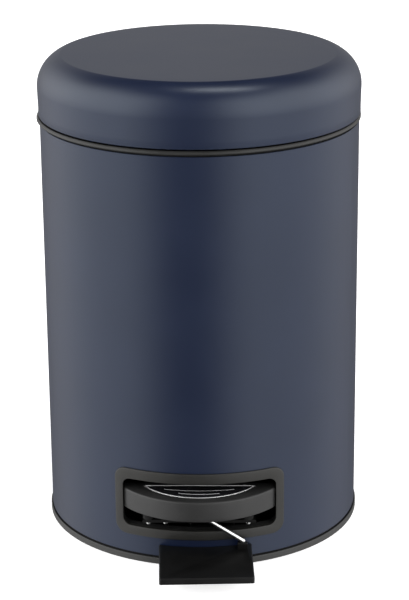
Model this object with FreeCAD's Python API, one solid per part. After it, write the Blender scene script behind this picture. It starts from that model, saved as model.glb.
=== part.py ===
import FreeCAD, Part
import math
import os

# Pedal trash can with a lift-out bucket. Millimetres, +Z up. The origin is the centre of the tube on the
# floor, and the pedal faces -Y. Everything that the pedal moves lies on the plane x = 0, apart from the
# foot pad, which sits a little to the right and is turned a little about the tube's axis.

# Tube, base and rim
tube_radius = 83.0
tube_wall = 0.5
tube_bottom = 4.9
tube_top = 218.2
base_radius = 83.8
base_bottom = 0.6
base_ring_top = 4.3
base_floor_top = 3.0
base_collar_outer = 82.2
base_collar_inner = 80.2
base_collar_top = 14.0
base_edge = 0.5
base_rib_angles = (50, 130, 230, 310)
base_rib_height = 1.6
base_rib_half_width = 0.9
base_rib_inner = 30.0
grip_ring_inner = 72.0
grip_ring_outer = 78.0
grip_ring_top = 1.6
rim_radius = 84.2
rim_bottom = 218.6
rim_top = 221.2
rim_collar_outer = 81.7
rim_collar_inner = 80.6
rim_collar_bottom = 206.0
rim_ledge_inner = 76.4
rim_ledge_bottom = 214.4
rim_ledge_top = 216.6
rim_edge = 0.7
rim_shift = -0.4

# Lid: a flat disc, a tight bend at its edge, a large round shoulder and a short skirt
lid_bottom = 222.0
lid_bottom_radius = 83.62
lid_radius = 83.89
lid_top = 252.8
lid_wall = 0.5
lid_disc_radius = 71.0
lid_bend_radius = 3.0
lid_bend_angle = 17.0
lid_hem_height = 1.6
lid_hem_depth = 1.0
liner_outer = 82.7
liner_inner = 80.7
liner_bottom = 223.7
liner_top = 232.0
liner_gap = 20.0
buffer_bottom = 221.5
buffer_angles = (-90, -210, 30)
buffer_outer = 82.0
buffer_inner = 80.9
buffer_half_width = 5.0

# Pedal opening and its frame, as angles and heights on the tube
frame_half_angle = 31.0
frame_bottom = 15.2
frame_top = 52.0
frame_corner = 6.0
frame_proud = 0.9
opening_half_angle = 28.3
opening_bottom = 20.3
opening_top = 46.3
opening_corner = 4.0
sleeve_wall = 1.3
sleeve_inner_radius = 77.5

# Pedal tread: a disc segment with straight sides
tread_top = 40.3
tread_bottom = 29.4
tread_radius = 48.2
tread_centre_y = -44.4
tread_half_width = 39.1
tread_back_y = -66.5
tread_wall = 2.2
tread_roof = 2.6
tread_edge = 0.7
tread_boss_radius = 2.8
tread_rib_x = (-9.0, 15.0)
tread_rib_half_width = 0.7
grip_grooves = ((-76.3, 17.8), (-81.6, 10.0))
grip_groove_half_width = 0.55
grip_groove_bottom = 39.85
badge_radius = 34.45
badge_centre_y = -52.2
badge_back_y = -70.6
badge_trim_width = 0.9
badge_depth = 0.8

# Foot pad in front of the base
pad_top = 11.5
pad_bottom = 8.2
pad_width = 47.8
pad_front_y = -119.4
pad_gap = 0.4
pad_turn = 2.5
pad_shift = -0.6
pad_tongue_top = 10.4
pad_tongue_width = 26.0
pad_tongue_back_y = -69.2
pad_corner = 1.2
pad_bevel = 0.6
pad_screw_x = (-8.0, 8.0)
pad_screw_y = -74.0
pad_screw_radius = 1.5
stay_lug = (19.6, 24.8, -86.4, -83.5)
stay_lug_top = 15.1
stay_lug_round = 0.8

# Pedal lever and its axle
axle_y = -64.0
axle_z = 7.5
axle_radius = 2.0
axle_half_length = 11.6
axle_ear_inner = 8.2
axle_ear_width = 3.0
axle_ear_radius = 4.0
running_clearance = 0.05
lever_bottom = 6.0
lever_top = 8.2
lever_half_width = 6.0
lever_back_y = 79.2
lever_nose_length = 14.0
lever_nose_half_width = 4.0
lever_lip = 1.2
lever_lip_height = 2.2
lever_barrel_radius = 3.2
lever_barrel_half_length = 7.6
cross_half_width = 18.2
cross_front_y = -77.2
cross_back_y = -68.8
cross_wing_x = 12.5
cross_wing_y = -66.0

# Push rod
rod_y = 76.5
rod_radius = 1.5
rod_top = 206.6
rod_bottom = 10.5
guide_heights = (58.0, 150.0)
guide_height = 6.0
guide_half_width = 13.0
guide_block_half_width = 4.2
foot_radius = 2.5
head_half_width = 4.6
head_play = 0.45

# Hinge at the back of the rim
hinge_y = 90.2
hinge_z = 219.0
hinge_pin_radius = 2.0
arm_length = 15.0
lid_swing = 81.6
drive_pin_radius = 1.25
cheek_inner = 5.2
cheek_outer = 7.2
cheek_radius = 4.2
arm_half_height = 3.1
leaf_bottom = 224.0
leaf_top = 237.0
leaf_half_width = 15.0
leaf_thickness = 1.6
lid_rivet_x = (-11.0, 0.0, 11.0)
lid_rivet_z = 232.5
lid_rivet_radius = 1.3
lid_rivet_head = 2.6
housing_half_width = 12.0
housing_wall = 3.0
housing_bottom = 168.0
housing_back_y = 105.5
housing_back_top = 203.0
housing_back_wall = 2.5
housing_bevel = 9.0
ear_radius = 4.6
ear_front_y = 82.0
saddle_thickness = 2.6
saddle_half_width = 19.0
stop_inner_x = 9.3
stop_width = 2.4
back_notch_half_width = 8.6
back_notch_bottom = 204.3

# Bucket
bucket_top_radius = 75.8
bucket_bottom_radius = 70.0
bucket_bottom = 50.0
bucket_top = 216.7
bucket_wall = 1.5
bucket_flat_y = 69.5
flange_radius = 78.2
flange_top = 218.5
flange_flat_y = 71.0
bail_radius = 73.2
bail_wire = 1.2
bail_z = 220.1
bail_end_x = 76.15
bucket_foot_outer = 62.0
bucket_foot_inner = 60.0
bucket_foot_depth = 1.2
bail_ear_inner_x = 74.55
bail_ear_width = 1.4
bail_ear_radius = 1.8

# Joined shapes run into each other by this much
overlap = 0.5

half_swing = math.radians(lid_swing / 2)
drive_pin_y = hinge_y - arm_length * math.cos(half_swing)
drive_pin_z = hinge_z - arm_length * math.sin(half_swing)


def vec(x, y, z):
    return FreeCAD.Vector(x, y, z)


def box(x0, x1, y0, y1, z0, z1):
    return Part.makeBox(x1 - x0, y1 - y0, z1 - z0, vec(x0, y0, z0))


def rod(radius, start, end):
    run = end.sub(start)
    return Part.makeCylinder(radius, run.Length, start, run)


def upright(radius, x, y, z0, z1):
    return Part.makeCylinder(radius, z1 - z0, vec(x, y, z0))


def tube(outer, inner, z0, z1):
    return upright(outer, 0, 0, z0, z1).cut(upright(inner, 0, 0, z0 - 1, z1 + 1))


def turned(points):
    """Revolves a closed outline of (radius, height) points about the Z axis."""
    corners = [vec(r, 0, z) for r, z in points]
    face = Part.Face(Part.makePolygon(corners + [corners[0]]))
    return face.revolve(vec(0, 0, 0), vec(0, 0, 1), 360)


def fuse(shapes):
    first = shapes[0]
    for shape in shapes[1:]:
        first = first.fuse(shape)
    return first.removeSplitter()


def group(shapes):
    return Part.makeCompound(shapes)


def spin(shape, degrees):
    copy = shape.copy()
    copy.rotate(vec(0, 0, 0), vec(0, 0, 1), degrees)
    return copy


def plate_x(points, x0, x1):
    """A flat plate between two x values, from an outline of (y, z) points."""
    corners = [vec(x0, y, z) for y, z in points]
    face = Part.Face(Part.makePolygon(corners + [corners[0]]))
    return face.extrude(vec(x1 - x0, 0, 0))


def round_window(half_width, z0, z1, corner, y0, y1):
    """A block along Y whose section is a rectangle with round corners."""
    block = box(-half_width, half_width, y0, y1, z0, z1)
    edges = [e for e in block.Edges if abs(e.tangentAt(e.FirstParameter).y) > 0.99]
    return block.makeFillet(corner, edges)


def top_edges(shape, height):
    return [e for e in shape.Edges if all(abs(v.Z - height) < 1e-6 for v in e.Vertexes)]


def hex_nut(x, z, y0, y1, across, bore):
    corners = []
    for i in range(6):
        turn = math.radians(60 * i)
        corners.append(vec(x + across / 2 * math.cos(turn), y0, z + across / 2 * math.sin(turn)))
    face = Part.Face(Part.makePolygon(corners + [corners[0]]))
    return face.extrude(vec(0, y1 - y0, 0)).cut(rod(bore, vec(x, y0 - 1, z), vec(x, y1 + 1, z)))


# Outer body

def half_width_at(radius, degrees):
    return radius * math.sin(math.radians(degrees))


housing_screw_places = [(x, z) for z in (179.0, 197.0) for x in (-5.6, 5.6)]
housing_screw_radius = 1.5
guide_rivet_x = 9.6
guide_rivet_radius = 1.2
frame_outer_x = half_width_at(tube_radius + frame_proud, frame_half_angle)
opening_x = half_width_at(tube_radius + frame_proud, opening_half_angle)
tongue_clearance = 0.8


def notch_for_pad(z0, z1):
    half = pad_tongue_width / 2 + tongue_clearance
    block = box(pad_shift - half, pad_shift + half, -90, -60, z0, z1)
    return spin(block, pad_turn)


def make_body_shell():
    shell = tube(tube_radius, tube_radius - tube_wall, tube_bottom, tube_top)
    shell = shell.cut(round_window(
        opening_x + sleeve_wall + 0.2, opening_bottom - sleeve_wall - 0.2,
        opening_top + sleeve_wall + 0.2, opening_corner + sleeve_wall, -90, 0))
    shell = shell.cut(notch_for_pad(tube_bottom - 1, pad_tongue_top + 0.6))
    shell = shell.cut(box(-back_notch_half_width, back_notch_half_width, 60, 90,
                          back_notch_bottom, tube_top + 1))
    for x, z in housing_screw_places:
        shell = shell.cut(rod(housing_screw_radius + 0.1, vec(x, 70, z), vec(x, 90, z)))
    for z in guide_heights:
        for side in (-1, 1):
            x = side * guide_rivet_x
            shell = shell.cut(rod(guide_rivet_radius, vec(x, 70, z + 3), vec(x, 90, z + 3)))
    return shell


def make_base_pan():
    edge = base_edge
    pan = turned([
        (0, base_bottom), (base_radius - edge, base_bottom), (base_radius, base_bottom + edge),
        (base_radius, base_ring_top - edge), (base_radius - edge, base_ring_top),
        (base_collar_outer, base_ring_top), (base_collar_outer, base_collar_top),
        (base_collar_inner, base_collar_top), (base_collar_inner, base_floor_top), (0, base_floor_top)])
    pan = pan.cut(tube(grip_ring_outer, grip_ring_inner, base_bottom - 1, grip_ring_top))
    pan = pan.cut(notch_for_pad(base_ring_top, base_collar_top + 1))
    for side in (-1, 1):
        x0, x1 = sorted((side * axle_ear_inner, side * (axle_ear_inner + axle_ear_width)))
        ear = box(x0, x1, axle_y - axle_ear_radius, axle_y + axle_ear_radius,
                  base_floor_top - overlap, axle_z)
        ear = ear.fuse(rod(axle_ear_radius, vec(x0, axle_y, axle_z), vec(x1, axle_y, axle_z)))
        pan = pan.fuse(ear)
    pan = pan.cut(rod(axle_radius, vec(-20, axle_y, axle_z), vec(20, axle_y, axle_z)))
    rib = box(base_rib_inner, base_collar_inner + overlap, -base_rib_half_width, base_rib_half_width,
              base_floor_top - overlap, base_floor_top + base_rib_height)
    for angle in base_rib_angles:
        pan = pan.fuse(spin(rib, angle))
    return pan.removeSplitter()


def make_anti_slip_ring():
    return tube(grip_ring_outer, grip_ring_inner, 0, grip_ring_top)


def make_rim_ring():
    edge = rim_edge
    ring = turned([
        (rim_collar_inner, rim_ledge_top), (rim_collar_inner, rim_top),
        (rim_radius - edge, rim_top), (rim_radius, rim_top - edge), (rim_radius, rim_bottom + edge),
        (rim_radius - edge * 0.6, rim_bottom), (rim_collar_outer, rim_bottom),
        (rim_collar_outer, rim_collar_bottom), (rim_collar_inner, rim_collar_bottom),
        (rim_collar_inner, rim_ledge_bottom), (rim_ledge_inner, rim_ledge_bottom),
        (rim_ledge_inner, rim_ledge_top)])
    ring = ring.cut(box(-back_notch_half_width, back_notch_half_width, 60, 90,
                        rim_collar_bottom - 1, rim_top + 1))
    ring.translate(vec(rim_shift, 0, 0))
    return ring


def make_slot_frame():
    flange_zone = tube(tube_radius + frame_proud, tube_radius + 0.03, 0, 80)
    flange = flange_zone.common(round_window(
        frame_outer_x, frame_bottom, frame_top, frame_corner, -90, 0))
    sleeve_zone = tube(tube_radius + 0.2, sleeve_inner_radius, 0, 80)
    sleeve = sleeve_zone.common(round_window(
        opening_x + sleeve_wall, opening_bottom - sleeve_wall, opening_top + sleeve_wall,
        opening_corner + sleeve_wall, -90, 0))
    frame = flange.fuse(sleeve)
    frame = frame.cut(round_window(opening_x, opening_bottom, opening_top, opening_corner, -90, 0))
    return frame.removeSplitter()


def make_frame_clips():
    clips = []
    inner = tube_radius - tube_wall - 2.0
    zone = tube(tube_radius - tube_wall - 0.05, inner, 0, 80)
    for z0, z1 in ((opening_bottom - sleeve_wall - 3.2, opening_bottom - sleeve_wall - 0.02),
                   (opening_top + sleeve_wall + 0.02, opening_top + sleeve_wall + 3.2)):
        for x in (-26.0, 26.0):
            clips.append(zone.common(box(x - 4, x + 4, -90, 0, z0, z1)))
    return group(clips)


# Hinge at the back

def make_hinge_housing():
    """A bracket open at the top: a saddle on the tube, two ears with the pin's bores, a floor and a back."""
    half = housing_half_width
    ear_inner = half - housing_wall
    saddle = tube(tube_radius + saddle_thickness, tube_radius + 0.05, housing_bottom, back_notch_bottom - 2)
    saddle = saddle.common(box(-saddle_half_width, saddle_half_width, 60, 90,
                               housing_bottom, back_notch_bottom - 2))
    bevel_y = housing_back_y - housing_bevel
    bevel_z = housing_bottom + housing_bevel
    side = [
        (ear_front_y, housing_bottom), (bevel_y, housing_bottom), (housing_back_y, bevel_z),
        (housing_back_y, housing_back_top), (housing_back_y - 7, hinge_z - 3),
        (hinge_y + ear_radius, hinge_z), (hinge_y - ear_radius, hinge_z), (ear_front_y, hinge_z - 9)]
    parts = []
    for sign in (-1, 1):
        x0 = min(sign * ear_inner, sign * half)
        x1 = x0 + housing_wall
        parts.append(plate_x(side, x0, x1))
        parts.append(rod(ear_radius, vec(x0, hinge_y, hinge_z), vec(x1, hinge_y, hinge_z)))
    inner_half = half - overlap
    wall = housing_back_wall
    parts.append(box(-inner_half, inner_half, housing_back_y - wall, housing_back_y,
                     bevel_z, housing_back_top))
    floor = [(ear_front_y, housing_bottom), (bevel_y, housing_bottom), (housing_back_y, bevel_z),
             (housing_back_y - wall, bevel_z + 0.5), (bevel_y - 1, housing_bottom + wall),
             (ear_front_y, housing_bottom + wall)]
    parts.append(plate_x(floor, -inner_half, inner_half))
    body = fuse([saddle] + parts)
    body = body.cut(upright(tube_radius + 0.05, 0, 0, housing_bottom - 1, hinge_z + 9))
    body = body.cut(rod(hinge_pin_radius, vec(-20, hinge_y, hinge_z), vec(20, hinge_y, hinge_z)))
    for x, z in housing_screw_places:
        body = body.cut(rod(housing_screw_radius + 0.1, vec(x, 70, z), vec(x, 88, z)))
    return body.removeSplitter()


def make_housing_screws():
    screws = []
    for x, z in housing_screw_places:
        near_x = abs(x) - 2.7
        saddle_y = math.sqrt((tube_radius + saddle_thickness) ** 2 - near_x ** 2) + 0.02
        shank = rod(housing_screw_radius, vec(x, 79.4, z), vec(x, saddle_y + 0.5, z))
        head = rod(2.7, vec(x, saddle_y, z), vec(x, saddle_y + 1.8, z))
        slot = box(x - 2.0, x + 2.0, saddle_y + 1.1, saddle_y + 3, z - 0.3, z + 0.3)
        cross = box(x - 0.3, x + 0.3, saddle_y + 1.1, saddle_y + 3, z - 2.0, z + 2.0)
        screws.append(shank.fuse(head).cut(slot).cut(cross))
    return group(screws)


def make_housing_nuts():
    return group([hex_nut(x, z, 79.9, 81.9, 6.2, housing_screw_radius) for x, z in housing_screw_places])


def make_hinge_pin():
    reach = housing_half_width + 0.6
    pin = rod(hinge_pin_radius, vec(-reach, hinge_y, hinge_z), vec(reach, hinge_y, hinge_z))
    heads = []
    for x0, x1 in ((-reach - 1.2, -reach), (reach, reach + 1.2)):
        heads.append(rod(3.0, vec(x0, hinge_y, hinge_z), vec(x1, hinge_y, hinge_z)))
    return fuse([pin] + heads)


def make_lid_stops():
    """Soft pads on the ears that the open lid's hinge leaf comes down on."""
    stops = []
    for sign in (-1, 1):
        x0 = min(sign * stop_inner_x, sign * (stop_inner_x + stop_width))
        side = [(96.0, hinge_z - 4), (99.6, hinge_z - 5.2), (100.6, hinge_z + 5.6), (96.6, hinge_z + 5.2)]
        stops.append(plate_x(side, x0, x0 + stop_width))
    housing = make_hinge_housing()
    return group([s.cut(housing) for s in stops])


# Lid

def lid_outline():
    """Corner points and radii of the lid's outer profile, from the disc's edge to the skirt's foot."""
    bend = math.radians(lid_bend_angle)
    sine, cosine = math.sin(bend), math.cos(bend)
    shoulder = (lid_radius - lid_disc_radius - lid_bend_radius * sine) / (1 - sine)
    bend_end = (lid_disc_radius + lid_bend_radius * sine, lid_top - lid_bend_radius * (1 - cosine))
    centre = (lid_radius - shoulder, bend_end[1] - shoulder * cosine)
    return bend, shoulder, bend_end, centre


def lid_profile(inset):
    """Edges of the profile in the XZ plane, moved inwards by inset."""
    bend, shoulder, bend_end, centre = lid_outline()

    def on_bend(angle):
        reach = lid_bend_radius - inset
        return vec(lid_disc_radius + reach * math.sin(angle), 0,
                   lid_top - lid_bend_radius + reach * math.cos(angle))

    def on_shoulder(angle):
        reach = shoulder - inset
        return vec(centre[0] + reach * math.sin(angle), 0, centre[1] + reach * math.cos(angle))

    middle = vec(0, 0, lid_top - inset)
    disc_edge = on_bend(0)
    bend_to = on_bend(bend)
    side = on_shoulder(math.pi / 2)
    foot = vec(lid_bottom_radius - inset, 0, lid_bottom)
    return [
        Part.LineSegment(middle, disc_edge).toShape(),
        Part.Arc(disc_edge, on_bend(bend / 2), bend_to).toShape(),
        Part.Arc(bend_to, on_shoulder((bend + math.pi / 2) / 2), side).toShape(),
        Part.LineSegment(side, foot).toShape(),
    ]


def revolve_profile(edges):
    first = edges[0].Vertexes[0].Point
    last = edges[-1].Vertexes[-1].Point
    base = vec(0, 0, last.z)
    closing = [Part.LineSegment(last, base).toShape(), Part.LineSegment(base, first).toShape()]
    face = Part.Face(Part.Wire(edges + closing))
    return face.revolve(vec(0, 0, 0), vec(0, 0, 1), 360)


def make_lid_shell():
    outer = revolve_profile(lid_profile(0))
    inner = revolve_profile(lid_profile(lid_wall))
    lid = outer.cut(inner)
    hem = tube(lid_bottom_radius - lid_wall + 0.1, lid_bottom_radius - lid_wall - lid_hem_depth,
               lid_bottom, lid_bottom + lid_hem_height)
    hem = hem.cut(box(-liner_gap, liner_gap, 60, 90, lid_bottom - 1, lid_bottom + 3))
    lid = lid.fuse(hem)
    for x in lid_rivet_x:
        lid = lid.cut(rod(lid_rivet_radius, vec(x, 70, lid_rivet_z), vec(x, 90, lid_rivet_z)))
    return lid.removeSplitter()


def make_lid_liner():
    liner = turned([
        (liner_inner, liner_bottom), (liner_outer, liner_bottom), (liner_outer, liner_top),
        (liner_inner + 1.0, liner_top), (liner_inner, liner_top - 1.0)])
    return liner.cut(box(-liner_gap, liner_gap, 60, 90, liner_bottom - 1, liner_top + 1))


def make_lid_buffers():
    pads = []
    ring = tube(buffer_outer, buffer_inner, buffer_bottom, liner_bottom)
    pad = ring.common(box(76, 84, -buffer_half_width, buffer_half_width, buffer_bottom - 1, liner_bottom + 1))
    for angle in buffer_angles:
        pads.append(spin(pad, angle))
    return group(pads)


def make_lid_hinge():
    """Leaf on the lid's skirt, two cheeks on the hinge pin and the arm that the push rod lifts."""
    leaf = tube(lid_radius + leaf_thickness, lid_radius + 0.03, leaf_bottom, leaf_top)
    leaf = leaf.common(box(-leaf_half_width, leaf_half_width, 60, 90, leaf_bottom, leaf_top))
    parts = [leaf]
    along = (drive_pin_y - hinge_y) / arm_length, (drive_pin_z - hinge_z) / arm_length
    across = -along[1], along[0]
    half = arm_half_height
    arm = [
        (hinge_y + across[0] * half, hinge_z + across[1] * half),
        (drive_pin_y + across[0] * half, drive_pin_z + across[1] * half),
        (drive_pin_y - across[0] * half, drive_pin_z - across[1] * half),
        (hinge_y - across[0] * half, hinge_z - across[1] * half)]
    web = [(84.6, leaf_bottom), (84.6, leaf_top - 1.5), (86.0, leaf_top - 1.5),
           (hinge_y + 3.6, hinge_z + 2.2), (hinge_y, hinge_z - 2), (hinge_y - 3.8, hinge_z + 1.6)]
    for sign in (-1, 1):
        x0 = min(sign * cheek_inner, sign * cheek_outer)
        x1 = x0 + cheek_outer - cheek_inner
        parts.append(plate_x(arm, x0, x1))
        parts.append(plate_x(web, x0, x1))
        parts.append(rod(cheek_radius, vec(x0, hinge_y, hinge_z), vec(x1, hinge_y, hinge_z)))
        parts.append(rod(half, vec(x0, drive_pin_y, drive_pin_z), vec(x1, drive_pin_y, drive_pin_z)))
    hinge = fuse(parts)
    hinge = hinge.cut(upright(lid_radius + 0.03, 0, 0, 222.5, 240))
    hinge = hinge.cut(rod(hinge_pin_radius + running_clearance,
                          vec(-20, hinge_y, hinge_z), vec(20, hinge_y, hinge_z)))
    hinge = hinge.cut(rod(drive_pin_radius, vec(-20, drive_pin_y, drive_pin_z),
                          vec(20, drive_pin_y, drive_pin_z)))
    for x in lid_rivet_x:
        hinge = hinge.cut(rod(lid_rivet_radius, vec(x, 70, lid_rivet_z), vec(x, 90, lid_rivet_z)))
    return hinge.removeSplitter()


def make_lid_rivets():
    rivets = []
    z = lid_rivet_z
    for x in lid_rivet_x:
        near_x = max(0.0, abs(x) - lid_rivet_head)
        outer_y = math.sqrt((lid_radius + leaf_thickness) ** 2 - near_x ** 2)
        inner_y = math.sqrt((lid_bottom_radius - lid_wall) ** 2 - x * x)
        shank = rod(lid_rivet_radius, vec(x, inner_y - 0.6, z), vec(x, outer_y + 0.4, z))
        dome = Part.makeSphere(lid_rivet_head, vec(x, outer_y - 1.2, z))
        dome = dome.common(box(x - 3, x + 3, outer_y + 0.02, outer_y + 3, z - 3, z + 3))
        rivets.append(fuse([shank, dome]))
    return group(rivets)


def make_drive_pin():
    reach = cheek_outer + 0.3
    return rod(drive_pin_radius, vec(-reach, drive_pin_y, drive_pin_z), vec(reach, drive_pin_y, drive_pin_z))


# Push rod

def make_push_rod():
    return upright(rod_radius, 0, rod_y, rod_bottom, rod_top)


def make_rod_foot():
    foot = upright(foot_radius, 0, rod_y, rod_bottom - 0.4, rod_bottom + 5)
    dome = Part.makeSphere(foot_radius, vec(0, rod_y, rod_bottom + 0.5))
    foot = foot.fuse(dome.common(box(-3, 3, rod_y - 3, rod_y + 3, rod_bottom - 2.0, rod_bottom + 0.5)))
    return foot.cut(upright(rod_radius, 0, rod_y, rod_bottom, rod_bottom + 6)).removeSplitter()


def make_rod_head():
    slot_y0 = hinge_y - arm_length - drive_pin_radius - 0.15
    slot_y1 = drive_pin_y + drive_pin_radius + 0.15
    slot_z0 = drive_pin_z - drive_pin_radius - head_play
    slot_z1 = drive_pin_z + drive_pin_radius + head_play
    head = box(-head_half_width, head_half_width, slot_y0 - 1.7, slot_y1 + 1.6, slot_z0 - 2.2, slot_z1 + 2.2)
    head = head.makeFillet(0.6, head.Edges)
    head = head.cut(box(-6, 6, slot_y0, slot_y1, slot_z0, slot_z1))
    return head.cut(upright(rod_radius, 0, rod_y, slot_z0 - 4, rod_top))


def make_rod_guides():
    guides = []
    outer = tube_radius - tube_wall - 0.05
    for z in guide_heights:
        top = z + guide_height
        middle = z + guide_height / 2
        block = box(-guide_block_half_width, guide_block_half_width, rod_y - 3.4, outer + 1, z, top)
        wings = tube(outer, outer - 2.0, z, top)
        wings = wings.common(box(-guide_half_width, guide_half_width, 60, 90, z, top))
        guide = fuse([block, wings]).common(upright(outer, 0, 0, z - 1, top + 1))
        guide = guide.cut(upright(rod_radius + 0.08, 0, rod_y, z - 1, top + 1))
        for x in (-guide_rivet_x, guide_rivet_x):
            guide = guide.cut(rod(guide_rivet_radius, vec(x, 70, middle), vec(x, 90, middle)))
        guides.append(guide)
    return group(guides)


def make_guide_rivets():
    rivets = []
    for z in guide_heights:
        for side in (-1, 1):
            x = side * guide_rivet_x
            outer_y = math.sqrt(tube_radius ** 2 - x * x)
            inner_y = math.sqrt((tube_radius - tube_wall - 2.05) ** 2 - x * x)
            shank = rod(guide_rivet_radius, vec(x, inner_y - 0.4, z + 3), vec(x, outer_y + 0.5, z + 3))
            dome = Part.makeSphere(3.2, vec(x, outer_y - 1.9, z + 3))
            dome = dome.common(box(x - 3, x + 3, outer_y + 0.3, outer_y + 3, z, z + 6))
            rivets.append(fuse([shank, dome]))
    return group(rivets)


# Pedal

tread_screw_x = (-26.0, -17.3, 25.0)
tread_screw_y = -81.0
tread_screw_radius = 1.1
tread_screw_head = 1.9
bracket_top = 26.8
bracket_thickness = 1.5
bracket_half_width = 29.0
bracket_front_y = -83.6
strap_inner_x = 16.5
strap_front_y = -72.5
stay_upper = vec(7.2, -87.9, 27.3)
stay_lower = vec(22.5, -84.0, 15.3)
stay_radius = 1.15
stay_root = 6.5


def tread_block(inset, z0, z1):
    """The tread's outline, drawn in by inset, between two heights."""
    radius = tread_radius - inset
    half = tread_half_width - inset
    meet_y = tread_centre_y - math.sqrt(radius ** 2 - half ** 2)
    back = tread_back_y - inset
    left, right = vec(-half, meet_y, z0), vec(half, meet_y, z0)
    front = vec(0, tread_centre_y - radius, z0)
    back_left, back_right = vec(-half, back, z0), vec(half, back, z0)
    wire = Part.Wire([
        Part.Arc(left, front, right).toShape(),
        Part.LineSegment(right, back_right).toShape(),
        Part.LineSegment(back_right, back_left).toShape(),
        Part.LineSegment(back_left, left).toShape()])
    return Part.Face(wire).extrude(vec(0, 0, z1 - z0))


def badge_block(inset, z0, z1):
    """The half-lens shape of the inset badge, drawn in by inset."""
    disc = upright(badge_radius - inset, 0, badge_centre_y, z0, z1)
    return disc.common(box(-60, 60, -120, badge_back_y - inset, z0, z1))


def stay_line(extra_up, extra_down):
    run = stay_lower.sub(stay_upper)
    run.normalize()
    return stay_upper.sub(run * extra_up), stay_lower.add(run * extra_down)


def make_pedal_tread():
    tread = tread_block(0, tread_bottom, tread_top)
    tread = tread.makeFillet(tread_edge, top_edges(tread, tread_top))
    tread = tread.cut(tread_block(tread_wall, tread_bottom - 1, tread_top - tread_roof))
    under_roof = tread_top - tread_roof + overlap
    half_rib = tread_rib_half_width
    extras = []
    for x in tread_screw_x:
        extras.append(upright(tread_boss_radius, x, tread_screw_y, bracket_top, under_roof))
    for x in tread_rib_x:
        extras.append(box(x - half_rib, x + half_rib, -90.0, tread_back_y - 1,
                          tread_bottom + 1.5, under_roof))
    start, end = stay_line(stay_root, 0)
    extras.append(upright(3.0, start.x + 0.8, start.y + 0.6, tread_bottom, under_roof))
    inside = tread_block(0.5, 0, tread_top - 1.0)
    tread = fuse([tread] + [e.common(inside) for e in extras])
    tread = tread.cut(badge_block(0, tread_top - badge_depth, tread_top + 1))
    tread = tread.cut(rod(stay_radius, start, end))
    for x in tread_screw_x:
        tread = tread.cut(upright(tread_screw_radius, x, tread_screw_y, bracket_top - 1, bracket_top + 6))
    return tread.removeSplitter()


def make_tread_badge():
    z0 = tread_top - badge_depth
    badge = badge_block(badge_trim_width, z0, tread_top - 0.15)
    for y, half in grip_grooves:
        groove = box(-half, half, y - grip_groove_half_width, y + grip_groove_half_width,
                     grip_groove_bottom, tread_top)
        badge = badge.cut(groove)
    return badge


def make_badge_trim():
    z0 = tread_top - badge_depth
    trim = badge_block(0, z0, tread_top + 0.1).cut(badge_block(badge_trim_width, z0 - 1, tread_top + 1))
    return trim


def make_tread_bracket():
    """Bent steel strap from the lever's cross plate up to the tread."""
    plate_bottom = bracket_top - bracket_thickness
    back_y = cross_wing_y - 0.6
    parts = [box(-bracket_half_width, bracket_half_width, bracket_front_y, back_y, plate_bottom, bracket_top)]
    for sign in (-1, 1):
        x0 = min(sign * strap_inner_x, sign * (strap_inner_x + bracket_thickness))
        parts.append(box(x0, x0 + bracket_thickness, strap_front_y, back_y, lever_top, bracket_top))
    bracket = fuse(parts)
    for x in tread_screw_x:
        bracket = bracket.cut(upright(tread_screw_radius, x, tread_screw_y,
                                      plate_bottom - 1, bracket_top + 1))
    return bracket


def make_tread_screws():
    screws = []
    plate_bottom = bracket_top - bracket_thickness
    for x in tread_screw_x:
        shank = upright(tread_screw_radius, x, tread_screw_y, plate_bottom - 0.5, bracket_top + 5.5)
        head = upright(tread_screw_head, x, tread_screw_y, plate_bottom - 1.9, plate_bottom)
        screws.append(fuse([shank, head]))
    return group(screws)


def make_pedal_lever():
    nose_y = lever_back_y - lever_nose_length
    half, nose_half = lever_half_width, lever_nose_half_width
    strip = box(-half, half, axle_y, nose_y, lever_bottom, lever_top)
    corners = [vec(-half, nose_y, lever_bottom), vec(half, nose_y, lever_bottom),
               vec(nose_half, lever_back_y, lever_bottom), vec(-nose_half, lever_back_y, lever_bottom)]
    nose = Part.Face(Part.makePolygon(corners + [corners[0]])).extrude(vec(0, 0, lever_top - lever_bottom))
    cross = box(-cross_half_width, cross_half_width, cross_front_y, cross_back_y, lever_bottom, lever_top)
    wings = [box(-cross_half_width, -cross_wing_x, cross_front_y, cross_wing_y, lever_bottom, lever_top),
             box(cross_wing_x, cross_half_width, cross_front_y, cross_wing_y, lever_bottom, lever_top)]
    neck = box(-half, half, cross_back_y - 1, axle_y + 1, lever_bottom, lever_top)
    barrel = rod(lever_barrel_radius, vec(-lever_barrel_half_length, axle_y, axle_z),
                 vec(lever_barrel_half_length, axle_y, axle_z))
    lips = []
    for sign in (-1, 1):
        x0 = min(sign * (half - lever_lip), sign * half)
        lips.append(box(x0, x0 + lever_lip, axle_y, nose_y - 1, lever_top - overlap,
                        lever_top + lever_lip_height))
    lever = fuse([strip, nose, cross, neck, barrel] + wings + lips)
    bore = rod(axle_radius + running_clearance, vec(-20, axle_y, axle_z), vec(20, axle_y, axle_z))
    lever = lever.cut(bore)
    for x, y in pad_screw_places():
        lever = lever.cut(upright(pad_screw_radius, x, y, lever_bottom - 1, lever_top + 1))
    return lever.removeSplitter()


def pad_screw_places():
    places = []
    turn = FreeCAD.Rotation(vec(0, 0, 1), pad_turn)
    for x in pad_screw_x:
        place = turn.multVec(vec(pad_shift + x, pad_screw_y, 0))
        places.append((place.x, place.y))
    return places


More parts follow.
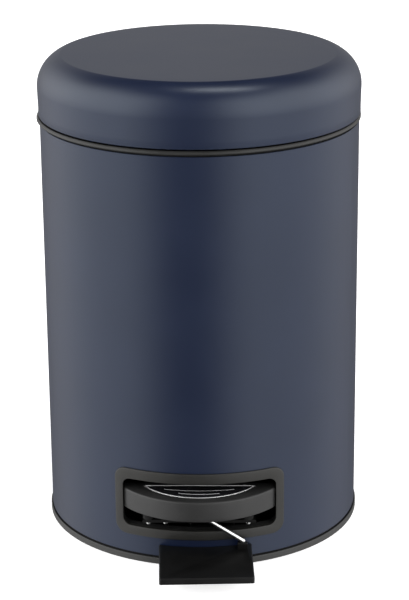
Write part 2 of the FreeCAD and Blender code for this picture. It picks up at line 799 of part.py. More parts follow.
def make_pedal_pad():
    half = pad_width / 2
    plate = box(-half, half, pad_front_y, -60, pad_bottom, pad_top)
    plate = plate.makeFillet(pad_corner, [e for e in plate.Edges if e.BoundBox.ZLength > 1 and
                                   e.BoundBox.YMax < pad_front_y + 1])
    plate = plate.makeChamfer(pad_bevel, [e for e in top_edges(plate, pad_top) if e.BoundBox.YMax < -70])
    plate = plate.cut(upright(tube_radius + pad_gap, 0, 0, 0, 30))
    plate = plate.common(box(-half, half, -140, -70, 0, 30))
    tongue = box(-pad_tongue_width / 2, pad_tongue_width / 2, -86, pad_tongue_back_y,
                 pad_bottom, pad_tongue_top)
    pad = plate.fuse(tongue)
    pad.translate(vec(pad_shift, 0, 0))
    pad = spin(pad, pad_turn)
    start, end = stay_line(0, 1.6)
    lug = box(*stay_lug, pad_top - 1, stay_lug_top)
    lug = lug.makeFillet(stay_lug_round, top_edges(lug, stay_lug_top))
    pad = pad.fuse(lug).cut(rod(stay_radius, start, end))
    for x, y in pad_screw_places():
        pad = pad.cut(upright(pad_screw_radius, x, y, pad_bottom - 1, pad_top + 1))
    return pad.removeSplitter()


def make_pad_screws():
    screws = []
    for x, y in pad_screw_places():
        shank = upright(pad_screw_radius, x, y, lever_bottom - 0.4, pad_tongue_top + overlap)
        head = upright(2.8, x, y, pad_tongue_top, pad_tongue_top + 1.6)
        slot = box(x - 2.2, x + 2.2, y - 0.35, y + 0.35, pad_tongue_top + 0.9, pad_tongue_top + 3)
        screws.append(fuse([shank, head]).cut(slot))
    return group(screws)


def make_pedal_stay():
    start, end = stay_line(stay_root, 0)
    stay = rod(stay_radius, start, end)
    return fuse([stay, Part.makeSphere(stay_radius, end)])


def make_pedal_axle():
    return rod(axle_radius, vec(-axle_half_length, axle_y, axle_z), vec(axle_half_length, axle_y, axle_z))


# Bucket

def bucket_cone(inset, z0, z1):
    slope = (bucket_top_radius - bucket_bottom_radius) / (bucket_top - bucket_bottom)
    r0 = bucket_bottom_radius + slope * (z0 - bucket_bottom) - inset
    r1 = bucket_bottom_radius + slope * (z1 - bucket_bottom) - inset
    cone = Part.makeCone(r0, r1, z1 - z0, vec(0, 0, z0))
    return cone.common(box(-90, 90, -90, bucket_flat_y - inset, z0, z1))


def make_inner_bucket():
    outer = bucket_cone(0, bucket_bottom, bucket_top)
    flange = upright(flange_radius, 0, 0, bucket_top, flange_top)
    flange = flange.common(box(-90, 90, -90, flange_flat_y, bucket_top, flange_top))
    bucket = outer.fuse(flange)
    bucket = bucket.cut(bucket_cone(bucket_wall, bucket_bottom + bucket_wall, flange_top + 1))
    foot = tube(bucket_foot_outer, bucket_foot_inner, bucket_bottom - bucket_foot_depth, bucket_bottom + 0.2)
    bucket = bucket.fuse(foot)
    reach = bail_ear_radius
    for sign in (-1, 1):
        x0, x1 = sorted((sign * bail_ear_inner_x, sign * (bail_ear_inner_x + bail_ear_width)))
        ear = box(x0, x1, -reach, reach, flange_top - overlap, bail_z)
        ear = ear.fuse(rod(reach, vec(x0, 0, bail_z), vec(x1, 0, bail_z)))
        bucket = bucket.fuse(ear.common(box(x0, x1, -reach, reach, flange_top - overlap, bail_z + reach)))
    bucket = bucket.cut(rod(bail_wire + 0.08, vec(-90, 0, bail_z), vec(90, 0, bail_z)))
    return bucket.removeSplitter()


def make_bucket_bail():
    ring = Part.makeTorus(bail_radius, bail_wire, vec(0, 0, bail_z), vec(0, 0, 1))
    bow = ring.common(box(-90, 90, -90, 0, bail_z - 3, bail_z + 3))
    parts = [bow]
    for sign in (-1, 1):
        corner = vec(sign * bail_radius, 0, bail_z)
        parts.append(Part.makeSphere(bail_wire, corner))
        parts.append(rod(bail_wire, corner, vec(sign * bail_end_x, 0, bail_z)))
    return fuse(parts)


nodes = {
    "body_shell": make_body_shell,
    "base_pan": make_base_pan,
    "anti_slip_ring": make_anti_slip_ring,
    "rim_ring": make_rim_ring,
    "slot_frame": make_slot_frame,
    "frame_clips": make_frame_clips,
    "hinge_housing": make_hinge_housing,
    "housing_screws": make_housing_screws,
    "housing_nuts": make_housing_nuts,
    "hinge_pin": make_hinge_pin,
    "lid_stops": make_lid_stops,
    "rod_guides": make_rod_guides,
    "guide_rivets": make_guide_rivets,
    "pedal_axle": make_pedal_axle,
    "lid_shell": make_lid_shell,
    "lid_liner": make_lid_liner,
    "lid_buffers": make_lid_buffers,
    "lid_hinge": make_lid_hinge,
    "lid_rivets": make_lid_rivets,
    "drive_pin": make_drive_pin,
    "pedal_lever": make_pedal_lever,
    "tread_bracket": make_tread_bracket,
    "pedal_tread": make_pedal_tread,
    "tread_badge": make_tread_badge,
    "badge_trim": make_badge_trim,
    "tread_screws": make_tread_screws,
    "pedal_pad": make_pedal_pad,
    "pad_screws": make_pad_screws,
    "pedal_stay": make_pedal_stay,
    "push_rod": make_push_rod,
    "rod_head": make_rod_head,
    "rod_foot": make_rod_foot,
    "inner_bucket": make_inner_bucket,
    "bucket_bail": make_bucket_bail,
}

os.makedirs("parts", exist_ok=True)
for name, make in nodes.items():
    shape = make()
    shape.exportStep("parts/" + name + ".step")
    print(name, len(shape.Solids), "solids", round(shape.Volume, 1), "mm3", shape.isValid())
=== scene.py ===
import bmesh
import bpy
import math
from mathutils import Matrix, Vector


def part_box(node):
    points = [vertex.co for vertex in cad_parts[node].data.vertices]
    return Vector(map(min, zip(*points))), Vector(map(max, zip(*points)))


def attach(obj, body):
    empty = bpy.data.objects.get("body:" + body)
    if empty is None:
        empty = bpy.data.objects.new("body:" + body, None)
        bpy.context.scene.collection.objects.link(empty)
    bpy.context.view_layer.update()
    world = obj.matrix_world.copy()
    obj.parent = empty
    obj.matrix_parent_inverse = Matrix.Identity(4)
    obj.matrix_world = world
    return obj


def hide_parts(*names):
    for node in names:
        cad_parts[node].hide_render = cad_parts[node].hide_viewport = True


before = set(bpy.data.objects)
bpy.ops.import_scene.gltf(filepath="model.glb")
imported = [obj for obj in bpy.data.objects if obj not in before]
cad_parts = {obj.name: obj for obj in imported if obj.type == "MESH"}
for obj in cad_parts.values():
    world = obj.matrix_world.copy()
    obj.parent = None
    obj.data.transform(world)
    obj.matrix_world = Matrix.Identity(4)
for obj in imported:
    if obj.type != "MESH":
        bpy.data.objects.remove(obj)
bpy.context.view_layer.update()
scene = bpy.context.scene
mm = 0.001  # sizes below are millimetres; the pedal faces -Y and the hinge +Y
fullTurn = 2 * math.pi


class Wire:
    # one output socket that can be added, multiplied and so on
    def __init__(self, graph, socket):
        self.graph = graph
        self.socket = socket

    def __add__(self, other):
        return self.graph.reckon("ADD", self, other)

    def __radd__(self, other):
        return self.graph.reckon("ADD", other, self)

    def __sub__(self, other):
        return self.graph.reckon("SUBTRACT", self, other)

    def __rsub__(self, other):
        return self.graph.reckon("SUBTRACT", other, self)

    def __mul__(self, other):
        return self.graph.reckon("MULTIPLY", self, other)

    def __rmul__(self, other):
        return self.graph.reckon("MULTIPLY", other, self)

    def output(self, name):
        return Wire(self.graph, self.socket.node.outputs[name])


class Graph:
    def __init__(self, tree):
        self.tree = tree
        tree.nodes.clear()

    def put(self, kind, settings=None, values=None, output=0):
        node = self.tree.nodes.new(kind)
        for key, value in (settings or {}).items():
            setattr(node, key, value)
        for key, value in (values or {}).items():
            if isinstance(value, Wire):
                self.tree.links.new(value.socket, node.inputs[key])
            else:
                node.inputs[key].default_value = value
        return Wire(self, node.outputs[output]) if len(node.outputs) else node

    def reckon(self, operation, *values):
        return self.put("ShaderNodeMath", {"operation": operation}, dict(enumerate(values)))

    def between(self, factor, low, high):
        low, high = [end if isinstance(end, Wire) else (*end, 1) for end in (low, high)]
        return self.put("ShaderNodeMix", {"data_type": "RGBA"}, {0: factor, 6: low, 7: high}, 2)

    def easing(self, value, start, end, low=0.0, high=1.0):
        return self.put("ShaderNodeMapRange", {"interpolation_type": "SMOOTHSTEP"},
                        {"Value": value, "From Min": start, "From Max": end, "To Min": low, "To Max": high})


# Finishes. Scales are per metre, depths are metres.

def newFinish(name, fixed):
    material = bpy.data.materials.new(name)
    material.use_nodes = True
    graph = Graph(material.node_tree)
    shader = material.node_tree.nodes.new("ShaderNodeBsdfPrincipled")
    for key, value in fixed.items():
        shader.inputs[key].default_value = value
    place = graph.put("ShaderNodeTexCoord").output("Object")
    return material, graph, shader, place


def closeFinish(graph, shader, varied):
    for key, wire in varied.items():
        graph.tree.links.new(wire.socket, shader.inputs[key])
    graph.put("ShaderNodeOutputMaterial", None, {"Surface": Wire(graph, shader.outputs[0])})


def speckle(graph, place, scale, detail=2.0, rough=0.5):
    return graph.put("ShaderNodeTexNoise", None,
                     {"Vector": place, "Scale": scale, "Detail": detail, "Roughness": rough}).output("Fac")


def grainFinish(name, look):
    # moulded plastic, rubber and powder coat: a fine grain over a slow drift of tone
    material, graph, shader, place = newFinish(name, look["fixed"])
    drift = speckle(graph, place, look["driftScale"], 3.0)
    grain = speckle(graph, place, look["grainScale"], 3.0, 0.6)
    pits = graph.put("ShaderNodeTexVoronoi", None,
                     {"Vector": place, "Scale": look["pitScale"]}).output("Distance")
    tone = graph.easing(drift * look["driftShare"] + grain * (1 - look["driftShare"]), 0.3, 0.7)
    height = grain + pits * look["pitShare"]
    bump = graph.put("ShaderNodeBump", None,
                     {"Strength": look["bump"], "Distance": look["depth"], "Height": height})
    roughness = look["roughness"] + (grain - 0.5) * look["roughSpan"] + (drift - 0.5) * look["smudge"]
    colour = graph.between(tone, look["dark"], look["light"])
    apart = graph.put("ShaderNodeSeparateXYZ", None, {"Vector": place})
    x, y = apart.output("X"), apart.output("Y")
    # painted shade: faces inside the tube or low down take a near-black colour and more roughness, standing
    # in for the shade there
    unshaded = None
    if "inside" in look:  # painted shade: near-black on the faces turned into the tube
        unshaded = graph.easing(graph.reckon("SQRT", x * x + y * y), *look["inside"])
    if "below" in look:  # painted shade: near-black on the underside below a given height
        unshaded = graph.easing(apart.output("Z"), *look["below"])
    if unshaded is not None:
        colour = graph.between(unshaded, look["hidden"], colour)
        roughness = roughness + (1 - unshaded) * look["shadeRough"]
    closeFinish(graph, shader, {"Base Color": colour, "Roughness": roughness, "Normal": bump})
    return material


def drawnFinish(name, look):
    # drawn, rolled or plated metal: long scratches one way and a soft mottle
    material, graph, shader, place = newFinish(name, look["fixed"])
    stretched = graph.put("ShaderNodeVectorMath", {"operation": "MULTIPLY"}, {0: place, 1: look["stretch"]})
    lines = speckle(graph, stretched, look["lineScale"], 4.0, 0.65)
    mottle = graph.put("ShaderNodeTexVoronoi", {"feature": "SMOOTH_F1"},
                       {"Vector": place, "Scale": look["mottleScale"]}).output("Distance")
    tone = graph.easing(lines * 0.6 + mottle * 0.5, 0.2, 0.8)
    bump = graph.put("ShaderNodeBump", None,
                     {"Strength": look["bump"], "Distance": look["depth"], "Height": lines})
    roughness = look["roughness"] + (lines - 0.5) * look["roughSpan"] + (mottle - 0.4) * look["smudge"]
    closeFinish(graph, shader, {"Base Color": graph.between(tone, look["dark"], look["light"]),
                                "Roughness": roughness, "Normal": bump})
    return material


def plastic(dark, light, roughness, specular=0.5, **changes):
    tint = changes.pop("tint", (1.0, 1.0, 1.0))
    # hidden and shadeRough are the painted shade used by the inside and below masks
    look = {"fixed": {"Specular IOR Level": specular, "IOR": 1.5, "Specular Tint": (*tint, 1)},
            "dark": dark, "light": light, "hidden": (0.0015, 0.0015, 0.0015), "shadeRough": 0.45,
            "roughness": roughness, "roughSpan": 0.16, "smudge": 0.06, "driftScale": 55.0, "driftShare": 0.75,
            "grainScale": 2600.0, "pitScale": 1900.0, "pitShare": 0.5, "bump": 0.35, "depth": 0.00006}
    look.update(changes)
    return look


def steel(dark, light, roughness, **changes):
    look = {"fixed": {"Metallic": 1.0}, "dark": dark, "light": light, "roughness": roughness,
            "roughSpan": 0.14, "smudge": 0.08, "stretch": (1.0, 1.0, 0.06), "lineScale": 3800.0,
            "mottleScale": 420.0, "bump": 0.12, "depth": 0.00002}
    look.update(changes)
    return look


finishLooks = {
    "navy_paint": (grainFinish, plastic(
        (0.0042, 0.0082, 0.0265), (0.0058, 0.0104, 0.0310), 0.32, 0.5, tint=(0.86, 0.94, 1.0),
        driftScale=24.0, grainScale=1500.0, pitScale=1100.0, pitShare=0.35, bump=0.16, depth=0.00004,
        roughSpan=0.08, smudge=0.05)),
    # painted shade: the pan's groove and collar inside the tube's foot are near-black, standing in for the
    # shadow line there
    "base_plastic": (grainFinish, plastic(
        (0.0145, 0.0145, 0.0138), (0.0215, 0.0215, 0.0203), 0.46,
        inside=(0.0823, 0.0830), hidden=(0.003, 0.003, 0.003))),
    # painted shade: below the rim bead, where the tube's top edge leaves a shadow gap, the ring is near-black
    "rim_plastic": (grainFinish, plastic(
        (0.0120, 0.0120, 0.0116), (0.0180, 0.0180, 0.0174), 0.38, 0.42,
        below=(0.2192, 0.2196), hidden=(0.004, 0.004, 0.004))),
    # painted shade: the sleeve going into the tube is near-black, standing in for the shade inside the pedal
    # window
    "frame_plastic": (grainFinish, plastic(
        (0.0120, 0.0117, 0.0104), (0.0175, 0.0170, 0.0152), 0.42, 0.42, inside=(0.0805, 0.0834))),
    # painted shade: below its bottom edge the tread is near-black, standing in for the shade in the slot
    # under it
    "tread_plastic": (grainFinish, plastic(
        (0.0150, 0.0150, 0.0150), (0.0215, 0.0215, 0.0215), 0.44, 0.42, below=(0.0291, 0.0295))),
    "badge_plastic": (grainFinish, plastic(
        (0.010, 0.010, 0.012), (0.016, 0.016, 0.019), 0.24, bump=0.1, roughSpan=0.08)),
    "pad_plastic": (grainFinish, plastic(
        (0.0016, 0.0016, 0.0016), (0.0034, 0.0034, 0.0034), 0.4, 0.26, driftScale=80.0, smudge=0.14)),
    "bucket_plastic": (grainFinish, plastic((0.014, 0.014, 0.015), (0.022, 0.022, 0.023), 0.4)),
    "guide_plastic": (grainFinish, plastic((0.55, 0.54, 0.50), (0.66, 0.65, 0.61), 0.42, bump=0.15)),
    "soft_rubber": (grainFinish, plastic(
        (0.012, 0.012, 0.012), (0.020, 0.020, 0.019), 0.72, 0.35, grainScale=1700.0, bump=0.5)),
    # bright metal trim; its white diffuse share is a painted highlight that keeps the arc bright from every
    # side
    "bright_trim": (drawnFinish, steel(
        (0.86, 0.86, 0.87), (0.95, 0.95, 0.95), 0.24, bump=0.05, roughSpan=0.06,
        fixed={"Metallic": 0.45, "Specular IOR Level": 0.8})),
    "bright_steel": (drawnFinish, steel((0.60, 0.60, 0.60), (0.80, 0.80, 0.79), 0.27)),
    "zinc_steel": (drawnFinish, steel((0.42, 0.43, 0.45), (0.63, 0.64, 0.66), 0.36, stretch=(1.0, 1.0, 0.3))),
    "zinc_plate": (drawnFinish, steel(
        (0.40, 0.41, 0.43), (0.60, 0.61, 0.62), 0.38, stretch=(1.0, 0.05, 1.0), mottleScale=260.0)),
    "black_steel": (grainFinish, plastic(
        (0.0025, 0.0025, 0.0025), (0.005, 0.005, 0.005), 0.5, 0.2, grainScale=1500.0, bump=0.25)),
}
finishes = {name: make(name, look) for name, (make, look) in finishLooks.items()}
print("finishes made:", len(finishes))


# Shape helpers

def addPiece(name, points, faces):
    mesh = bpy.data.meshes.new(name)
    mesh.from_pydata([Vector(p) * mm for p in points], [], faces)
    piece = bpy.data.objects.new(name, mesh)
    scene.collection.objects.link(piece)
    return tidyMesh(piece)


def tidyMesh(piece, join=0.000002, turnOut=True):
    work = bmesh.new()
    work.from_mesh(piece.data)
    bmesh.ops.remove_doubles(work, verts=work.verts, dist=join)
    bmesh.ops.dissolve_degenerate(work, dist=join / 2, edges=work.edges)
    if turnOut:
        bmesh.ops.recalc_face_normals(work, faces=work.faces)
    work.to_mesh(piece.data)
    work.free()
    return piece


def settle(piece):
    # what the modifiers make becomes the piece's own plain mesh
    bpy.context.view_layer.update()
    depsgraph = bpy.context.evaluated_depsgraph_get()
    mesh = bpy.data.meshes.new_from_object(piece.evaluated_get(depsgraph))
    piece.modifiers.clear()
    piece.data = mesh
    mesh.name = piece.name
    return piece


def smoothPiece(piece, degrees=32.0):
    for face in piece.data.polygons:
        face.use_smooth = True
    piece.data.set_sharp_from_angle(angle=math.radians(degrees))
    return piece


def hand(piece, body, slotName, *nodes, degrees=32.0):
    piece.data.materials.clear()
    piece.data.materials.append(finishes[slotName])
    smoothPiece(piece, degrees)
    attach(piece, body)
    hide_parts(*nodes)
    return piece


def discard(*pieces):
    for piece in pieces:
        bpy.data.objects.remove(piece, do_unlink=True)


def carve(piece, cutters, operation="DIFFERENCE"):
    for cutter in cutters:
        step = piece.modifiers.new("cut", "BOOLEAN")
        step.operation = operation
        step.solver = "EXACT"
        step.object = cutter
    settle(piece)
    discard(*cutters)
    return piece


def bevelEdges(piece, width, degrees=35.0, segments=2):
    step = piece.modifiers.new("soft edges", "BEVEL")
    step.width = width * mm
    step.segments = segments
    step.limit_method = "ANGLE"
    step.angle_limit = math.radians(degrees)
    step.use_clamp_overlap = True
    return settle(piece)


def ringFaces(ringCount, pointCount, joinEnds):
    faces = []
    for i in range(ringCount if joinEnds else ringCount - 1):
        near, far = i * pointCount, (i + 1) % ringCount * pointCount
        for j in range(pointCount):
            k = (j + 1) % pointCount
            faces.append((near + j, near + k, far + k, far + j))
    if not joinEnds:
        faces.append(tuple(reversed(range(pointCount))))
        faces.append(tuple(range((ringCount - 1) * pointCount, ringCount * pointCount)))
    return faces


def skinRings(name, rings, joinEnds=False):
    points = [p for ring in rings for p in ring]
    return addPiece(name, points, ringFaces(len(rings), len(rings[0]), joinEnds))


def blockPiece(name, x0, x1, y0, y1, z0, z1):
    corners = [(x0, y0), (x1, y0), (x1, y1), (x0, y1)]
    return skinRings(name, [[(x, y, z) for x, y in corners] for z in (z0, z1)])


def onCircle(radius, angle, a=0.0, b=0.0):
    # the point at an angle on a circle about (a, b)
    return (a + radius * math.cos(angle), b + radius * math.sin(angle))


def outwardSpots(degrees):
    # spots on the object's own axis that face the given compass angles
    return [((0, 0, 0), (*onCircle(1.0, math.radians(a)), 0)) for a in degrees]


def earPlates(inner, width, outline):
    # one plate with the same (y, z) outline on each side
    plates = []
    for side in (-1, 1):
        ends = sorted((side * inner, side * (inner + width)))
        plates.append(skinRings("ear", [[(x, y, z) for y, z in outline] for x in ends]))
    return plates


def roundOutline(corners, steps=5):
    # corners are (a, b, radius) of a closed outline
    line = []
    for i, (a, b, radius) in enumerate(corners):
        here = Vector((a, b))
        back = Vector(corners[i - 1][:2]) - here
        ahead = Vector(corners[(i + 1) % len(corners)][:2]) - here
        if radius <= 0:
            line.append((a, b))
            continue
        half = back.angle(ahead) / 2
        trim = min(radius / math.tan(half), 0.49 * back.length, 0.49 * ahead.length)
        reach = trim / math.cos(half)
        centre = here + (back.normalized() + ahead.normalized()).normalized() * reach
        start = here + back.normalized() * trim - centre
        end = here + ahead.normalized() * trim - centre
        first = math.atan2(start.y, start.x)
        sweep = (math.atan2(end.y, end.x) - first + math.pi) % fullTurn - math.pi
        for k in range(steps + 1):
            line.append(onCircle(start.length, first + sweep * k / steps, centre.x, centre.y))
    return line


def arcPoints(centre, radius, start, end, steps):
    # angles in degrees from straight up, growing outwards
    points = []
    for k in range(steps + 1):
        angle = math.radians(start + (end - start) * k / steps)
        points.append((centre[0] + radius * math.sin(angle), centre[1] + radius * math.cos(angle)))
    return points


# Turned pieces: a profile carried round a circle

def newTree(name, sockets):
    tree = bpy.data.node_groups.new(name, "GeometryNodeTree")
    graph = Graph(tree)
    for label, kind in sockets:
        tree.interface.new_socket(label, in_out="INPUT", socket_type=kind)
    tree.interface.new_socket("Geometry", in_out="OUTPUT", socket_type="NodeSocketGeometry")
    return tree, graph, graph.put("NodeGroupInput")


def closeTree(graph, given, geometry):
    real = graph.put("GeometryNodeRealizeInstances", None, {"Geometry": geometry})
    dressed = graph.put("GeometryNodeSetMaterial", None,
                        {"Geometry": real, "Material": given.output("Finish")})
    graph.put("NodeGroupOutput", None, {"Geometry": dressed})


def turningTree():
    tree, graph, given = newTree("turned wall", (
        ("Profile", "NodeSocketObject"), ("Radius", "NodeSocketFloat"),
        ("Segments", "NodeSocketInt"), ("Finish", "NodeSocketMaterial")))
    circle = graph.put("GeometryNodeCurvePrimitiveCircle", None,
                       {"Resolution": given.output("Segments"), "Radius": given.output("Radius")})
    profile = graph.put("GeometryNodeObjectInfo", None,
                        {"Object": given.output("Profile")}).output("Geometry")
    wall = graph.put("GeometryNodeCurveToMesh", None, {"Curve": circle, "Profile Curve": profile})
    closed = graph.put("GeometryNodeMergeByDistance", None, {"Geometry": wall, "Distance": 0.000001})
    closeTree(graph, given, closed)
    return tree


def runTree(name, tree, values):
    piece = bpy.data.objects.new(name, bpy.data.meshes.new(name))
    scene.collection.objects.link(piece)
    step = piece.modifiers.new("build", "NODES")
    step.node_group = tree
    for item in tree.interface.items_tree:
        if item.in_out == "INPUT":
            step[item.identifier] = values[item.name]
    return settle(piece)


turnedWall = turningTree()


def turnPiece(name, outline, slotName, segments=256, centre=None):
    # outline is (radius, height); the tree's profile runs the other way in height
    radius = max(r for r, z in outline)
    line = [((r - radius) * mm, -z * mm) for r, z in outline]
    area = sum(a[0] * b[1] - b[0] * a[1] for a, b in zip(line, line[1:] + line[:1]))
    if area < 0:
        line.reverse()
    curve = bpy.data.curves.new(name + "Profile", "CURVE")
    curve.dimensions = "3D"
    spline = curve.splines.new("POLY")
    spline.points.add(len(line) - 1)
    for point, (x, y) in zip(spline.points, line):
        point.co = (x, y, 0, 1)
    spline.use_cyclic_u = True
    profile = bpy.data.objects.new(name + "Profile", curve)
    scene.collection.objects.link(profile)
    piece = runTree(name, turnedWall, {"Profile": profile, "Radius": radius * mm, "Segments": segments,
                                       "Finish": finishes[slotName]})
    discard(profile)
    tidyMesh(piece, turnOut=False)
    if centre:
        piece.data.transform(Matrix.Translation(Vector(centre) * mm))
    return piece


# Fasteners: one head set on each spot, facing the way the spot says

def settingTree(axis):
    tree, graph, given = newTree("set along " + axis, (
        ("Spots", "NodeSocketObject"), ("Head", "NodeSocketObject"), ("Finish", "NodeSocketMaterial")))
    spots = graph.put("GeometryNodeObjectInfo", None, {"Object": given.output("Spots")}).output("Geometry")
    head = graph.put("GeometryNodeObjectInfo", None, {"Object": given.output("Head"), "As Instance": True})
    way = graph.put("GeometryNodeInputNamedAttribute", {"data_type": "FLOAT_VECTOR"}, {"Name": "way"})
    turn = graph.put("FunctionNodeAlignRotationToVector", {"axis": axis}, {"Vector": way})
    placed = graph.put("GeometryNodeInstanceOnPoints", None,
                       {"Points": spots, "Instance": head.output("Geometry"), "Rotation": turn})
    closeTree(graph, given, placed)
    return tree


setAlongZ = settingTree("Z")
setAlongX = settingTree("X")


def setPieces(name, head, spots, slotName, tree=setAlongZ):
    # spots are ((x, y, z), direction); the head's own Z or X axis is turned that way
    mesh = bpy.data.meshes.new(name + "Spots")
    mesh.from_pydata([Vector(p) * mm for p, way in spots], [], [])
    ways = mesh.attributes.new("way", "FLOAT_VECTOR", "POINT")
    for item, (p, way) in zip(ways.data, spots):
        item.vector = way
    marks = bpy.data.objects.new(name + "Spots", mesh)
    scene.collection.objects.link(marks)
    piece = runTree(name, tree, {"Spots": marks, "Head": head, "Finish": finishes[slotName]})
    discard(marks, head)
    return piece


def screwHead(look):
    # head above z = 0, shank below it, with a crossed or straight recess
    r, h, s, depth = look["head"], look["height"], look["shank"], look["length"]
    outline = roundOutline([(0, h, 0), (r * 0.55, h, 0), (r, h * 0.55, h * 0.4), (r, 0, h * 0.12),
                            (s, 0, 0), (s, -depth + 0.3, 0.1), (s - 0.3, -depth, 0), (0, -depth, 0)], 4)
    head = turnPiece("head", outline, "zinc_steel", 40)
    wide, long = look["slotWidth"] / 2, look["slotLength"] / 2
    cutters = [blockPiece("cut", -long, long, -wide, wide, h - look["slotDepth"], h + 1)]
    if look["crossed"]:
        cutters.append(blockPiece("cut", -wide, wide, -long, long, h - look["slotDepth"], h + 1))
    return carve(head, cutters)


def rivetHead(look):
    r, h, s, depth = look["head"], look["height"], look["shank"], look["length"]
    sphere = (r * r + h * h) / (2 * h)
    reach = math.degrees(math.asin(r / sphere))
    dome = arcPoints((0, h - sphere), sphere, 0, reach, 8)
    return turnPiece("head", dome + [(r, -0.05), (s, -0.05), (s, -depth), (0, -depth)], "zinc_steel", 40)


# Lid: flat disc, tight bend, wide round shoulder, short skirt with a rolled hem

lidLow, lidHigh = [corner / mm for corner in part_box("lid_shell")]
lid = {"disc": 71.0, "bend": 3.0, "bendAngle": 17.0, "foot": 83.62, "wall": 0.5,
       "hemDepth": 1.5, "hemHeight": 1.6, "segments": 288}


def lidProfile(inset):
    top, radius = lidHigh.z, lidHigh.x
    sine, cosine = math.sin(math.radians(lid["bendAngle"])), math.cos(math.radians(lid["bendAngle"]))
    shoulder = (radius - lid["disc"] - lid["bend"] * sine) / (1 - sine)
    centreZ = top - lid["bend"] * (1 - cosine) - shoulder * cosine
    flat = [(r, top - inset) for r in (0, 18, 36, 52, 64)]
    bend = arcPoints((lid["disc"], top - lid["bend"]), lid["bend"] - inset, 0, lid["bendAngle"], 5)
    curve = arcPoints((radius - shoulder, centreZ), shoulder - inset, lid["bendAngle"], 90, 26)
    return flat + bend + curve[1:]


def makeLidShell():
    foot, low, wall = lid["foot"], lidLow.z, lid["wall"]
    hemIn, hemTop = foot - lid["hemDepth"], low + lid["hemHeight"]
    hem = [(foot - 0.03, low + 4.0), (foot, low + 0.22), (foot - 0.07, low + 0.07), (foot - 0.22, low),
           (hemIn + 0.3, low), (hemIn + 0.08, low + 0.08), (hemIn, low + 0.3),
           (hemIn, hemTop - 0.3), (hemIn + 0.1, hemTop - 0.08), (hemIn + 0.3, hemTop), (foot - wall, hemTop)]
    outline = lidProfile(0) + hem + lidProfile(wall)[::-1]
    piece = turnPiece("lidShell", outline, "navy_paint", lid["segments"])
    return hand(piece, "lid", "navy_paint", "lid_shell", degrees=40)


makeLidShell()

liner = {"outer": 82.7, "inner": 80.7, "gap": 20.0, "segments": 224}
linerLow, linerHigh = [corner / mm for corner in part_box("lid_liner")]


def makeLidLiner():
    z0, z1, r0, r1 = linerLow.z, linerHigh.z, liner["inner"], liner["outer"]
    outline = roundOutline([(r0, z0, 0.4), (r1, z0, 0.3), (r1, z1, 0.3), (r0 + 1.0, z1, 0.3),
                            (r0, z1 - 1.0, 0.4), (r0, z0 + 4.6, 0.15), (r0 + 0.35, z0 + 4.3, 0.15),
                            (r0 + 0.35, z0 + 3.7, 0.15), (r0, z0 + 3.4, 0.15)], 3)
    ring = turnPiece("lidLiner", outline, "rim_plastic", liner["segments"])
    carve(ring, [blockPiece("cut", -liner["gap"], liner["gap"], 60, 90, z0 - 1, z1 + 1)])
    return hand(ring, "lid", "rim_plastic", "lid_liner")


makeLidLiner()

buffer = {"angles": (-90, -210, 30), "outer": 82.0, "inner": 80.9, "half": 5.0}


def makeLidBuffers():
    low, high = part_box("lid_buffers")[0].z / mm, linerLow.z
    rings = []
    for k in range(13):
        along = -1 + k / 6
        y = along * buffer["half"]
        drop = 0.5 * max(0.0, abs(along) - 0.6) / 0.4  # the ends are rounded off
        section = roundOutline([(buffer["inner"], low + drop, 0.25), (buffer["outer"], low + drop, 0.25),
                                (buffer["outer"], high, 0), (buffer["inner"], high, 0)], 3)
        rings.append([(math.sqrt(r * r - y * y), y, z) for r, z in section])
    pad = skinRings("pad", rings)
    piece = setPieces("lidBuffers", pad, outwardSpots(buffer["angles"]), "soft_rubber", setAlongX)
    return hand(piece, "lid", "soft_rubber", "lid_buffers")


makeLidBuffers()
print("lid done")

# Tube, with its pedal window, pad notch and hinge notch

tubeLow, tubeHigh = [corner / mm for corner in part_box("body_shell")]
tube = {"wall": 0.5, "segments": 288, "windowHalf": 41.28, "windowLow": 18.8, "windowHigh": 47.8,
        "windowCorner": 5.5, "cutDepth": (-90, -60), "padHalf": 13.8, "padShift": -0.6, "padTurn": 2.5,
        "padTop": 11.0, "backHalf": 8.6, "backLow": 204.3}


def windowOutline(look, name, steps, inset=0):
    half, low, high, corner = [look[name + key] for key in ("Half", "Low", "High", "Corner")]
    half, low, high, corner = half - inset, low + inset, high - inset, corner - inset
    return roundOutline([(-half, low, corner), (half, low, corner),
                         (half, high, corner), (-half, high, corner)], steps)


def windowCutter():
    outline = windowOutline(tube, "window", 10)
    return skinRings("cut", [[(x, y, z) for x, z in outline] for y in tube["cutDepth"]])


def padCutter(z0, z1):
    block = blockPiece("cut", tube["padShift"] - tube["padHalf"], tube["padShift"] + tube["padHalf"],
                       *tube["cutDepth"], z0, z1)
    block.data.transform(Matrix.Rotation(math.radians(tube["padTurn"]), 4, "Z"))
    return block


def radialNormals(piece):
    # the cut wall keeps the round shading of the whole tube
    mesh = piece.data
    normals = [None] * len(mesh.loops)
    for face in mesh.polygons:
        away = Vector((face.center.x, face.center.y, 0)).normalized()
        facing = face.normal.dot(away)
        for i in face.loop_indices:
            spot = mesh.vertices[mesh.loops[i].vertex_index].co
            straight = Vector((spot.x, spot.y, 0)).normalized() * (1 if facing > 0 else -1)
            normals[i] = straight if abs(facing) > 0.95 else face.normal.copy()
    mesh.normals_split_custom_set(normals)


